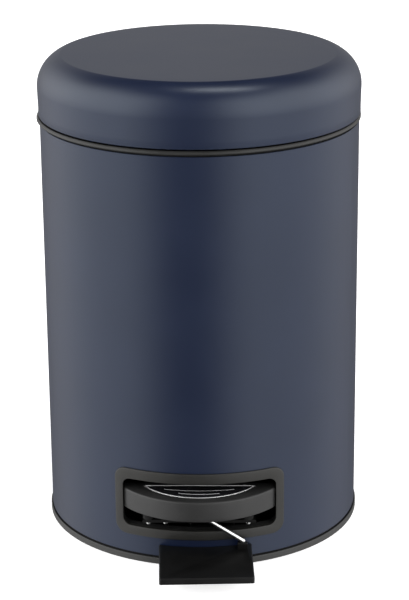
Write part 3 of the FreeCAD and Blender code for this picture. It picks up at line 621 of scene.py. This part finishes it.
def makeBodyShell():
    r, w, z0, z1 = tubeHigh.x, tube["wall"], tubeLow.z, tubeHigh.z
    rows = [z0 + 0.15] + [z0 + (z1 - z0) * k / 6 for k in range(1, 6)] + [z1 - 0.15]
    outline = [(r, z) for z in rows] + [(r - 0.15, z1), (r - w + 0.15, z1)]
    outline += [(r - w, z) for z in reversed(rows)] + [(r - w + 0.15, z0), (r - 0.15, z0)]
    wall = turnPiece("bodyShell", outline, "navy_paint", tube["segments"])
    carve(wall, [
        windowCutter(),
        padCutter(z0 - 1, tube["padTop"]),
        blockPiece("cut", -tube["backHalf"], tube["backHalf"], 60, 90, tube["backLow"], z1 + 1)])
    hand(wall, "housing", "navy_paint", "body_shell")
    radialNormals(wall)
    return wall


makeBodyShell()

# Base: the pan that carries the tube, and the soft ring under it

base = {"edge": 0.3, "radius": 83.8, "ringTop": 4.1, "gapFloor": 2.2, "floorTop": 3.0, "collarOuter": 82.2,
        "collarInner": 80.2, "collarTop": 14.0, "grooveInner": 72.0, "grooveOuter": 78.0, "grooveTop": 1.6,
        "ribAngles": (50, 130, 230, 310), "ribInner": 30.0, "ribHeight": 1.6, "earX": 8.2, "earWidth": 3.0,
        "earRadius": 4.0, "segments": 256}
axle = {"y": -64.0, "z": 7.5, "radius": 2.0}


def makeBasePan():
    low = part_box("base_pan")[0].z / mm
    outline = roundOutline([
        (0, low, 0), (base["grooveInner"], low, 0.2), (base["grooveInner"], base["grooveTop"], 0.1),
        (base["grooveOuter"], base["grooveTop"], 0.1), (base["grooveOuter"], low, 0.2),
        (base["radius"], low, base["edge"]), (base["radius"], base["ringTop"], base["edge"]),
        (base["radius"] - 0.75, base["ringTop"], 0.1), (base["collarOuter"] + 0.75, base["gapFloor"], 0.05),
        (base["collarOuter"], base["gapFloor"], 0.05), (base["collarOuter"], base["collarTop"], 0.5),
        (base["collarInner"], base["collarTop"], 0.5), (base["collarInner"], base["floorTop"], 0.8),
        (0, base["floorTop"], 0)], 4)
    pan = turnPiece("basePan", outline, "base_plastic", base["segments"])
    top = base["floorTop"]
    rib = skinRings("rib", [
        [(x, y, z) for y, z in ((-0.9, top - 0.5), (0.9, top - 0.5), (0.7, high), (-0.7, high))]
        for x, high in ((base["ribInner"], top + 0.4), (base["ribInner"] + 3, top + base["ribHeight"]),
                        (base["collarInner"] + 0.5, top + base["ribHeight"]))])
    ribs = setPieces("ribs", rib, outwardSpots(base["ribAngles"]), "base_plastic", setAlongX)
    reach, y, z = base["earRadius"], axle["y"], axle["z"]
    ear = [(y - reach - 1.2, top - 0.5), (y + reach + 1.2, top - 0.5)]
    ear += [onCircle(reach, math.pi * k / 16, y, z) for k in range(17)]
    carve(pan, [ribs] + earPlates(base["earX"], base["earWidth"], ear), "UNION")
    bore = skinRings("cut", [[(x, *onCircle(axle["radius"], fullTurn * k / 32, y, z)) for k in range(32)]
                             for x in (-20, 20)])
    carve(pan, [padCutter(base["ringTop"], base["collarTop"] + 1), bore])
    return hand(pan, "housing", "base_plastic", "base_pan")


makeBasePan()

gripRing = {"inner": 72.0, "outer": 78.0, "top": 1.6, "grooves": 3, "grooveDepth": 0.35, "segments": 224}


def makeAntiSlipRing():
    line = [(gripRing["inner"], gripRing["top"], 0.1), (gripRing["inner"], 0, 0.3)]
    pitch = (gripRing["outer"] - gripRing["inner"]) / (gripRing["grooves"] + 1)
    for k in range(gripRing["grooves"]):
        r = gripRing["inner"] + pitch * (k + 1)
        line += [(r - 0.35, 0, 0.08), (r - 0.2, gripRing["grooveDepth"], 0.08),
                 (r + 0.2, gripRing["grooveDepth"], 0.08), (r + 0.35, 0, 0.08)]
    line += [(gripRing["outer"], 0, 0.3), (gripRing["outer"], gripRing["top"], 0.1)]
    ring = turnPiece("antiSlipRing", roundOutline(line, 3), "soft_rubber", gripRing["segments"])
    return hand(ring, "housing", "soft_rubber", "anti_slip_ring")


makeAntiSlipRing()

# Rim: the moulded ring between the tube and the lid

rimLow, rimHigh = [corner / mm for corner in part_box("rim_ring")]
rim = {"radius": 84.2, "bottom": 218.6, "collarOuter": 81.7, "collarInner": 80.6, "ledgeInner": 76.4,
       "ledgeBottom": 214.4, "ledgeTop": 216.6, "shift": -0.4, "segments": 288}


def makeRimRing():
    r, low, high, top = rim["radius"], rim["bottom"], rimLow.z, rimHigh.z
    outline = roundOutline([
        (rim["collarInner"], rim["ledgeTop"], 0.3), (rim["collarInner"], top, 0.35), (r - 0.75, top, 0.35),
        (r, top - 0.75, 0.3), (r, low + 0.95, 0.2), (rim["collarOuter"] + 0.7, low + 0.9, 0.1),
        (rim["collarOuter"] + 0.6, low, 0.1), (rim["collarOuter"], low - 0.2, 0),
        (rim["collarOuter"], high, 0.4), (rim["collarInner"], high, 0.4),
        (rim["collarInner"], rim["ledgeBottom"], 0.4),
        (rim["ledgeInner"], rim["ledgeBottom"], 0.4), (rim["ledgeInner"], rim["ledgeTop"], 0.4)], 4)
    ring = turnPiece("rimRing", outline, "rim_plastic", rim["segments"])
    carve(ring, [blockPiece("cut", -tube["backHalf"], tube["backHalf"], 60, 90, high - 1, top + 1)])
    ring.data.transform(Matrix.Translation(Vector((rim["shift"], 0, 0)) * mm))
    return hand(ring, "housing", "rim_plastic", "rim_ring")


makeRimRing()
print("tube, base and rim done")

# Pedal window frame: a flange on the tube with a sleeve going in

slotFrame = {"outerHalf": 43.5, "outerLow": 15.2, "outerHigh": 52.0, "outerCorner": 6.0,
             "innerHalf": 39.36, "innerLow": 20.3, "innerHigh": 46.3, "innerCorner": 4.0,
             "sleeve": 1.3, "sleeveRadius": 77.5, "proud": 83.9, "back": 83.03, "edge": 0.4}


def frameRing(name, inset, radius):
    # one outline of the window, laid on a cylinder of the given radius
    line = windowOutline(slotFrame, name, 12, inset)
    ring = []
    for i, (x, z) in enumerate(line):
        nextX, nextZ = line[(i + 1) % len(line)]
        count = 40 if abs(nextX - x) > 30 else 4 if abs(nextZ - z) > 10 else 1
        for k in range(count):
            at, up = x + (nextX - x) * k / count, z + (nextZ - z) * k / count
            ring.append((at, -math.sqrt(radius * radius - at * at), up))
    return ring


def makeSlotFrame():
    f = slotFrame
    e, proud = f["edge"], f["proud"]
    rings = [frameRing("outer", 0, f["back"]), frameRing("outer", 0, proud - e)]
    for k in (1, 2, 3):
        a = math.pi / 2 * k / 3
        rings.append(frameRing("outer", e * (1 - math.cos(a)), proud - e + e * math.sin(a)))
    for k in (3, 2, 1, 0):
        a = math.pi / 2 * k / 3
        rings.append(frameRing("inner", -e * (1 - math.cos(a)), proud - e + e * math.sin(a)))
    sleeve, end = -f["sleeve"], f["sleeveRadius"]
    for inset, radius in ((0, end + 0.3), (-0.3, end), (sleeve + 0.2, end), (sleeve, end + 0.3),
                          (sleeve, f["back"])):
        rings.append(frameRing("inner", inset, radius))
    piece = skinRings("slotFrame", rings, joinEnds=True)
    return hand(piece, "housing", "frame_plastic", "slot_frame", degrees=38)


makeSlotFrame()

# Pedal tread: a disc segment with a hollow, ribbed underside and an inset lens on top

tread = {"bottom": 29.4, "top": 40.3, "radius": 48.2, "centreY": -44.4, "half": 39.16, "backY": -66.5,
         "edge": 0.9, "foot": 0.4, "wall": 2.2, "roof": 2.6, "corner": 2.0, "leastCorner": 0.15,
         "screwX": (-26.0, -17.3, 25.0), "screwY": -81.0, "ribX": (-9.0, 15.0), "bossFoot": 26.8,
         "bossRadius": 2.8}
badge = {"radius": 34.45, "centreY": -52.2, "backY": -70.6, "trim": 0.9, "backShare": 0.15, "depth": 0.8,
         "tipShare": 0.985, "sink": 0.15, "crown": 0.1, "lines": ((-77.4, 18.0, 82.0), (-81.8, 10.5, 39.0)),
         "lineWidth": 0.42, "lineRise": 0.12}


def frontArc(radius, centreY, reach, steps):
    # from left to right, bowed towards the front
    turns = [-reach + 2 * reach * k / steps for k in range(steps + 1)]
    return [(radius * math.sin(a), centreY - radius * math.cos(a)) for a in turns]


def treadRing(inset, z):
    # the front arc, then the straight sides and back with rounded corners
    t = tread
    r, h, back = t["radius"] - inset, t["half"] - inset, t["backY"] - inset
    c = max(t["corner"] - inset, t["leastCorner"])
    points = frontArc(r, t["centreY"], math.asin(h / r), 72)
    points += [onCircle(c, math.pi / 2 * k / 4, h - c, back - c) for k in range(5)]
    points += [((h - c) * (1 - k / 12), back) for k in range(1, 24)]
    points += [onCircle(c, math.pi / 2 * (1 + k / 4), -h + c, back - c) for k in range(5)]
    return [(x, y, z) for x, y in points]


def lensRing(inset, z):
    # an arc closed by a straight back, cut off a little short of the points where they meet
    b = badge
    r, back = b["radius"] - inset, b["backY"] - inset * b["backShare"]
    half = math.sqrt(r * r - (back - b["centreY"]) ** 2)
    points = frontArc(r, b["centreY"], math.asin(half / r) * b["tipShare"], 56)
    points += [(half * b["tipShare"] * (1 - k / 14), back) for k in range(1, 28)]
    return [(x, y, z) for x, y in points]


def upright(name, radius, x, y, z0, z1, count=28):
    return skinRings(name, [[(*onCircle(radius, fullTurn * k / count, x, y), z) for k in range(count)]
                            for z in (z0, z1)])


def makePedalTread():
    t = tread
    e, low, top, roof = t["edge"], t["bottom"], t["top"], t["top"] - t["roof"]
    rings = [treadRing(*row) for row in (
        (t["wall"] - 0.2, roof), (t["wall"], low + 0.3), (t["wall"] - 0.3, low), (t["foot"], low),
        (0.1, low + 0.25), (0, low + 0.7))]
    rings += [treadRing(0, low + (top - e - low) * k / 4) for k in (1, 2, 3)]
    for k in range(6):
        a = math.pi / 2 * k / 5
        rings.append(treadRing(e * (1 - math.cos(a)), top - e + e * math.sin(a)))
    body = skinRings("pedalTread", rings)
    parts = [upright("boss", t["bossRadius"], x, t["screwY"], t["bossFoot"], roof + 0.6) for x in t["screwX"]]
    for x in t["ribX"]:
        parts.append(blockPiece("rib", x - 0.7, x + 0.7, -89.5, t["backY"] - 1.0, low + 1.5, roof + 0.6))
    carve(body, parts, "UNION")
    carve(body, [skinRings("cut", [lensRing(0, top - badge["depth"]), lensRing(0, top + 1)])])
    return hand(body, "pedal", "tread_plastic", "pedal_tread")


makePedalTread()


def grooveHighlightRing(frontY, half, radius, inset, z, steps=28):
    # a thin bowed bar, from its front edge back round to its start; bright trim where a grip groove's edge
    # catches light, a painted highlight
    width = badge["lineWidth"]
    front = []
    for k in range(steps + 1):
        x = (half - inset) * (2 * k / steps - 1)
        front.append((x, frontY + radius - math.sqrt(radius * radius - x * x)))
    points = [(x, y + inset, z) for x, y in front]
    return points + [(x, y + width - inset, z) for x, y in reversed(front)]


def makeBadge():
    b, z0 = badge, tread["top"] - badge["depth"]
    top = tread["top"] - b["sink"]
    rings = [lensRing(b["trim"], z0), lensRing(b["trim"], top - 0.15), lensRing(b["trim"] + 0.15, top)]
    lens = skinRings("treadBadge", rings)
    hand(lens, "pedal", "badge_plastic", "tread_badge")
    crown = tread["top"] + b["crown"]
    edge = skinRings("badgeTrim", [
        lensRing(0, z0), lensRing(0, crown - 0.25), lensRing(0.12, crown - 0.06), lensRing(0.35, crown),
        lensRing(0.6, crown), lensRing(b["trim"] - 0.1, crown - 0.08), lensRing(b["trim"], crown - 0.3),
        lensRing(b["trim"], z0)], joinEnds=True)
    # the two grip grooves are drawn as raised bright bars: painted highlights of their edges
    rows = ((0, top - 0.2), (0, top + b["lineRise"] * 0.5), (0.1, top + b["lineRise"]))
    lines = [skinRings("line", [grooveHighlightRing(*line, *row) for row in rows]) for line in b["lines"]]
    carve(edge, lines, "UNION")
    hand(edge, "pedal", "bright_trim", "badge_trim")


makeBadge()
print("pedal window and tread done")

# Rods and wires: a round section carried along a line of points

def sweepRod(name, line, radii, sides=24):
    points = [Vector(p) for p in line]
    rings = []
    side = None
    last = len(points) - 1
    for i, point in enumerate(points):
        ahead = (points[min(i + 1, last)] - points[max(i - 1, 0)]).normalized()
        if side is None:
            side = ahead.orthogonal().normalized()
        side = (side - ahead * side.dot(ahead)).normalized()
        over = ahead.cross(side)
        turns = [onCircle(1.0, fullTurn * k / sides) for k in range(sides)]
        rings.append([tuple(point + (side * c + over * s) * radii[i]) for c, s in turns])
    return skinRings(name, rings)


stay = {"upper": (7.2, -87.9, 27.3), "lower": (22.5, -84.0, 15.3), "radius": 1.15, "root": 6.5}


def makePedalStay():
    upper, lower = Vector(stay["upper"]), Vector(stay["lower"])
    ahead = (lower - upper).normalized()
    start = upper - ahead * stay["root"]
    run = (lower - start).length
    steps = [0, 0.15, 0.4] + [run * k / 12 for k in range(1, 12)] + [run - 0.01]
    radii = [stay["radius"] * s for s in [0.7, 0.9, 1.0] + [1.0] * 12]
    for k in range(1, 7):  # round nose
        a = math.pi / 2 * k / 6.2
        steps.append(run + stay["radius"] * math.sin(a))
        radii.append(stay["radius"] * math.cos(a))
    rod = sweepRod("pedalStay", [start + ahead * s for s in steps], radii)
    return hand(rod, "pedal", "bright_steel", "pedal_stay")


makePedalStay()

bail = {"radius": 73.2, "wire": 1.2, "z": 220.1, "endX": 76.15, "corner": 3.0}


def makeBail():
    r, z, c = bail["radius"], bail["z"], bail["corner"]
    line = [(-bail["endX"], 0, z), (-bail["endX"] + 0.15, 0, z), (-bail["endX"] + 0.5, 0, z)]
    start = math.asin(c / (r - c))
    line += [(-r - 1.4, 0, z), (-r - 0.2, -0.35, z), (-r + 0.5, -1.3, z)]
    for k in range(97):
        a = math.pi + start * 0.9 + (math.pi - start * 1.8) * k / 96
        line.append((*onCircle(r, a), z))
    line += [(r - 0.5, -1.3, z), (r + 0.2, -0.35, z), (r + 1.4, 0, z)]
    line += [(bail["endX"] - 0.5, 0, z), (bail["endX"] - 0.15, 0, z), (bail["endX"], 0, z)]
    radii = [bail["wire"]] * len(line)
    radii[0] = radii[-1] = bail["wire"] * 0.75
    radii[1] = radii[-2] = bail["wire"] * 0.93
    return hand(sweepRod("bucketBail", line, radii, 16), "bail", "bright_steel", "bucket_bail", degrees=50)


makeBail()

# Bucket: a tapered pail with a flat at the back for the push rod

bucket = {"topRadius": 75.8, "bottomRadius": 70.0, "bottom": 50.0, "top": 216.7, "wall": 1.5,
          "flatY": 69.5, "flange": 78.2, "flangeTop": 218.5, "flangeFlatY": 71.0, "footOuter": 62.0,
          "footInner": 60.0, "footDrop": 1.2, "earX": 74.55, "earWidth": 1.4, "earRadius": 1.8}


def flatRound(radius, flatY, z, count=200):
    # circle cut by a flat at +Y
    reach = math.acos(min(1.0, flatY / radius))
    start = math.pi / 2 + reach
    points = [(*onCircle(radius, start + (fullTurn - 2 * reach) * k / count), z) for k in range(count + 1)]
    half = radius * math.sin(reach)
    return points + [(half * (1 - k / 12), flatY, z) for k in range(1, 24)]


def makeBucket():
    b = bucket
    slope = (b["topRadius"] - b["bottomRadius"]) / (b["top"] - b["bottom"])

    def wallRing(z, inset):
        return flatRound(b["bottomRadius"] + slope * (z - b["bottom"]) - inset, b["flatY"] - inset, z)

    low, top, w, rimTop = b["bottom"], b["top"], b["wall"], b["flangeTop"]
    rings = [wallRing(low, 3.0), wallRing(low + 0.2, 1.6), wallRing(low + 0.9, 0.6), wallRing(low + 2.6, 0.0)]
    rings += [wallRing(low + (top - low) * k / 8, 0.0) for k in range(1, 8)]
    rings += [wallRing(top - 0.4, 0.0), flatRound(b["topRadius"] + 0.4, b["flatY"] + 0.1, top)]
    rings += [flatRound(b["flange"] - 0.25, b["flangeFlatY"] - 0.2, top),
              flatRound(b["flange"], b["flangeFlatY"], top + 0.25),
              flatRound(b["flange"], b["flangeFlatY"], rimTop - 0.45),
              flatRound(b["flange"] - 0.15, b["flangeFlatY"] - 0.15, rimTop - 0.12),
              flatRound(b["flange"] - 0.5, b["flangeFlatY"] - 0.4, rimTop)]
    inner = b["topRadius"] + slope * (rimTop - top) - w
    rings += [flatRound(inner + 0.5, b["flatY"] - w + 0.4, rimTop),
              flatRound(inner + 0.1, b["flatY"] - w + 0.1, rimTop - 0.3), wallRing(rimTop - 0.9, w)]
    rings += [wallRing(low + (top - low) * k / 8, w) for k in range(7, 0, -1)]
    rings += [wallRing(low + w + 1.8, w), wallRing(low + w + 0.5, w + 0.5), wallRing(low + w, w + 1.8)]
    pail = skinRings("innerBucket", rings)
    foot = turnPiece("foot", roundOutline([
        (b["footInner"], low - b["footDrop"], 0.4), (b["footOuter"], low - b["footDrop"], 0.4),
        (b["footOuter"], low + 0.3, 0), (b["footInner"], low + 0.3, 0)], 4), "bucket_plastic", 128)
    ear = [(-b["earRadius"] - 0.6, rimTop - 0.5), (b["earRadius"] + 0.6, rimTop - 0.5)]
    ear += [onCircle(b["earRadius"], math.pi * k / 14, 0.0, bail["z"]) for k in range(15)]
    carve(pail, [foot] + earPlates(b["earX"], b["earWidth"], ear), "UNION")
    hole = sweepRod("cut", [(-90, 0, bail["z"]), (90, 0, bail["z"])], [bail["wire"] + 0.12] * 2, 20)
    carve(pail, [hole])
    return hand(pail, "bucket", "bucket_plastic", "inner_bucket")


makeBucket()
print("bucket done")

# Screws, rivets and nuts

housingScrew = {"head": 2.7, "height": 1.8, "shank": 1.5, "length": 6.2, "slotWidth": 0.6, "slotLength": 4.0,
                "slotDepth": 0.7, "crossed": True, "x": 5.6, "z": (179.0, 197.0), "seat": 85.6}
housingSpots = [(x, z) for z in housingScrew["z"] for x in (-housingScrew["x"], housingScrew["x"])]


def seatY(x, head):
    return math.sqrt(housingScrew["seat"] ** 2 - max(0.0, abs(x) - head) ** 2) + 0.02


def rivetSpots(look):
    # rows of spots on a round wall, facing outward
    spots = []
    for z in look["z"]:
        for x in look["x"]:
            y = math.sqrt(look["wall"] ** 2 - x * x)
            spots.append(((x, y + look["lift"], z), (x, y, 0)))
    return spots


def fasten(name, node, body, slotName, head, spots):
    return hand(setPieces(name, head, spots, slotName), body, slotName, node)


fasten("housingScrews", "housing_screws", "housing", "zinc_steel", screwHead(housingScrew),
       [((x, seatY(x, housingScrew["head"]), z), (0, 1, 0)) for x, z in housingSpots])

nut = {"across": 6.2, "bore": 1.5, "thick": 2.0, "y": 79.9}


def nutHead():
    # hexagon with chamfered corners and a bore
    t, r = nut["thick"], nut["across"] / 2
    rings = []
    for z, out in ((0, 0.86), (0.25, 1.0), (t - 0.25, 1.0), (t, 0.86)):
        ring = []
        for k in range(48):
            a = fullTurn * k / 48
            flat = math.cos(math.pi / 6) / math.cos((a + math.pi / 6) % (math.pi / 3) - math.pi / 6)
            ring.append((*onCircle(r * min(flat, out), a), z))
        rings.append(ring)
    for z in (t, t - 0.2, 0.2, 0):
        reach = nut["bore"] + (0.15 if z in (t, 0) else 0.02)
        rings.append([(*onCircle(reach, fullTurn * k / 48), z) for k in range(48)])
    return skinRings("nut", rings, joinEnds=True)


fasten("housingNuts", "housing_nuts", "housing", "zinc_steel", nutHead(),
       [((x, nut["y"], z), (0, 1, 0)) for x, z in housingSpots])

guideRivet = {"head": 2.3, "height": 1.0, "shank": 1.2, "length": 3.4, "x": (-9.6, 9.6), "z": (61.0, 153.0),
              "wall": 83.0, "lift": 0.12}
fasten("guideRivets", "guide_rivets", "housing", "zinc_steel", rivetHead(guideRivet),
       rivetSpots(guideRivet))

lidRivet = {"head": 2.5, "height": 1.3, "shank": 1.3, "length": 2.4, "x": (-11.0, 0.0, 11.0), "z": (232.5,),
            "wall": 85.49, "lift": 0.03}
fasten("lidRivets", "lid_rivets", "lid", "zinc_steel", rivetHead(lidRivet), rivetSpots(lidRivet))

treadScrew = {"head": 1.5, "height": 1.9, "shank": 1.1, "length": 7.0, "slotWidth": 0.5, "slotLength": 2.6,
              "slotDepth": 0.8, "crossed": True, "z": 25.3}
fasten("treadScrews", "tread_screws", "pedal", "bright_steel", screwHead(treadScrew),
       [((x, tread["screwY"], treadScrew["z"]), (0, 0, -1)) for x in tread["screwX"]])

padScrew = {"head": 2.8, "height": 1.6, "shank": 1.5, "length": 4.8, "slotWidth": 0.7, "slotLength": 4.4,
            "slotDepth": 0.7, "crossed": False, "x": (-8.0, 8.0), "y": -74.0, "z": 10.42}
turnPad = Matrix.Rotation(math.radians(tube["padTurn"]), 3, "Z")
fasten("padScrews", "pad_screws", "pedal", "zinc_steel", screwHead(padScrew),
       [(turnPad @ Vector((tube["padShift"] + x, padScrew["y"], padScrew["z"])), (0, 0, 1))
        for x in padScrew["x"]])
print("fasteners done")

# Plain working parts: the frame's own shapes with their edges softened

def softened(name, node, body, slotName, width):
    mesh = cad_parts[node].data.copy()
    piece = bpy.data.objects.new(name, mesh)
    scene.collection.objects.link(piece)
    work = bmesh.new()
    work.from_mesh(mesh)
    bmesh.ops.remove_doubles(work, verts=work.verts, dist=0.000004)
    bmesh.ops.dissolve_limit(work, angle_limit=math.radians(1.0), verts=work.verts, edges=work.edges)
    work.to_mesh(mesh)
    work.free()
    if width:
        bevelEdges(piece, width)
    return hand(piece, body, slotName, node, degrees=20)


softParts = (
    ("pedalPad", "pedal_pad", "pedal", "pad_plastic", 0.35),
    ("hingeHousing", "hinge_housing", "housing", "frame_plastic", 0.7),
    ("lidStops", "lid_stops", "housing", "soft_rubber", 0.3),
    ("rodGuides", "rod_guides", "housing", "guide_plastic", 0.4),
    ("frameClips", "frame_clips", "housing", "zinc_steel", 0.2),
    ("hingePin", "hinge_pin", "housing", "bright_steel", 0.25),
    ("pedalAxle", "pedal_axle", "housing", "bright_steel", 0.25),
    ("lidHinge", "lid_hinge", "lid", "black_steel", 0.25),
    ("drivePin", "drive_pin", "lid", "bright_steel", 0.2),
    ("pedalLever", "pedal_lever", "pedal", "zinc_plate", 0.3),
    ("treadBracket", "tread_bracket", "pedal", "black_steel", 0.3),
    ("pushRod", "push_rod", "push_rod", "zinc_steel", 0.25),
    ("rodHead", "rod_head", "push_rod", "guide_plastic", 0.15),
    ("rodFoot", "rod_foot", "push_rod", "guide_plastic", 0.0),
)
for name, node, body, slotName, width in softParts:
    softened(name, node, body, slotName, width)
print("working parts done")

# Studio: pale floor, white surround, soft light with a dark gap near the camera

studio = {"floorRadius": 7.0, "surround": 9.0, "floorGlow": 0.68, "strip": 2.1,
          "stripPlace": (0.17, -0.02, 1.25), "stripSize": (0.46, 0.14)}
camera = {"place": (28.26, -1044.28, 472.73), "target": (1.674, 0.035, 117.27), "roll": -0.00946,
          "lens": 123.49, "sensor": 36.0, "farEnd": 50.0}
sky = {"gapTurn": -7.0, "gap": (6.0, 48.0), "gapGlow": 0.20, "side": (95.0, 162.0, 1.9, 0.10),
       "right": (15.0, 80.0, 1.0, 0.82), "low": (-30.0, 14.0, 0.55, 1.4), "frontTop": (38.0, 72.0, 1.0, 0.02),
       "backTop": (24.0, 48.0, 1.0, 0.10), "behind": (75.0, 135.0)}


def emission(name, strength):
    material = bpy.data.materials.new(name)
    material.use_nodes = True
    graph = Graph(material.node_tree)
    glow = graph.put("ShaderNodeEmission", None, {"Color": (1, 1, 1, 1), "Strength": strength})
    graph.put("ShaderNodeOutputMaterial", None, {"Surface": glow})
    return material


def makeStage():
    count = 96
    disc = [(*onCircle(studio["floorRadius"] / mm, fullTurn * k / count), 0.0) for k in range(count)]
    floor = addPiece("floor", disc, [tuple(range(count))])
    material, graph, shader, place = newFinish("paleFloor", {
        "Roughness": 0.9, "Specular IOR Level": 0.2, "Emission Color": (1, 1, 1, 1),
        "Emission Strength": studio["floorGlow"]})
    cloud = speckle(graph, place, 3.0)
    closeFinish(graph, shader, {"Base Color": graph.between(cloud, (0.86, 0.86, 0.86), (0.89, 0.89, 0.89))})
    floor.data.materials.append(material)
    if floor.data.polygons[0].normal.z < 0:
        floor.data.flip_normals()
    floor.visible_glossy = False
    dome = turnPiece("surround", arcPoints((0, 0), studio["surround"] / mm, 0, 180, 24) +
                     arcPoints((0, 0), studio["surround"] / mm - 50, 180, 0, 24), "guide_plastic", 48)
    dome.data.materials.clear()
    dome.data.materials.append(emission("whiteSurround", 1.0))
    for ray in ("diffuse", "glossy", "transmission", "volume_scatter", "shadow"):
        setattr(dome, "visible_" + ray, False)


def makeSky():
    # brightness by compass angle from the front and by height, both in degrees
    world = bpy.data.worlds.new("studio")
    scene.world = world
    world.use_nodes = True
    graph = Graph(world.node_tree)
    way = graph.put("ShaderNodeTexCoord").output("Generated")
    apart = graph.put("ShaderNodeSeparateXYZ", None, {"Vector": way})
    x, y, z = apart.output("X"), apart.output("Y"), apart.output("Z")
    turn = graph.reckon("ARCTAN2", x, 0 - y) * (180 / math.pi)
    height = graph.reckon("ARCSINE", z) * (180 / math.pi)
    gap = graph.easing(graph.reckon("ABSOLUTE", turn - sky["gapTurn"]), *sky["gap"])
    away = graph.reckon("ABSOLUTE", turn)
    side = graph.easing(away, *sky["side"]) * graph.easing(turn, *sky["right"])
    around = (sky["gapGlow"] + gap * side) * graph.easing(height, *sky["low"])
    behind = graph.easing(away, *sky["behind"])
    front, back = graph.easing(height, *sky["frontTop"]), graph.easing(height, *sky["backTop"])
    gain = front * (1 - behind) + back * behind
    glow = graph.put("ShaderNodeBackground", None, {"Color": (1, 1, 1, 1), "Strength": around * gain})
    graph.put("ShaderNodeOutputWorld", None, {"Surface": glow})


def makeStrip():
    light = bpy.data.lights.new("topStrip", "AREA")
    light.shape = "RECTANGLE"
    light.size, light.size_y = studio["stripSize"]
    light.energy = studio["strip"]
    lamp = bpy.data.objects.new("topStrip", light)
    lamp.location = studio["stripPlace"]
    lamp.visible_camera = False
    scene.collection.objects.link(lamp)


def makeCamera():
    data = bpy.data.cameras.new("camera")
    data.lens = camera["lens"]
    data.sensor_width = camera["sensor"]
    data.clip_end = camera["farEnd"]
    place, target = Vector(camera["place"]) * mm, Vector(camera["target"]) * mm
    ahead = (target - place).normalized()
    right = ahead.cross(Vector((0, 0, 1))).normalized()
    up = right.cross(ahead)
    cosine, sine = math.cos(camera["roll"]), math.sin(camera["roll"])
    right, up = right * cosine + up * sine, up * cosine - right * sine
    view = bpy.data.objects.new("camera", data)
    view.matrix_world = Matrix.Translation(place) @ Matrix((right, up, -ahead)).transposed().to_4x4()
    scene.collection.objects.link(view)
    bpy.context.scene.camera = view


makeStage()
makeSky()
makeStrip()
makeCamera()
scene.view_settings.view_transform = "Standard"
print("studio done")
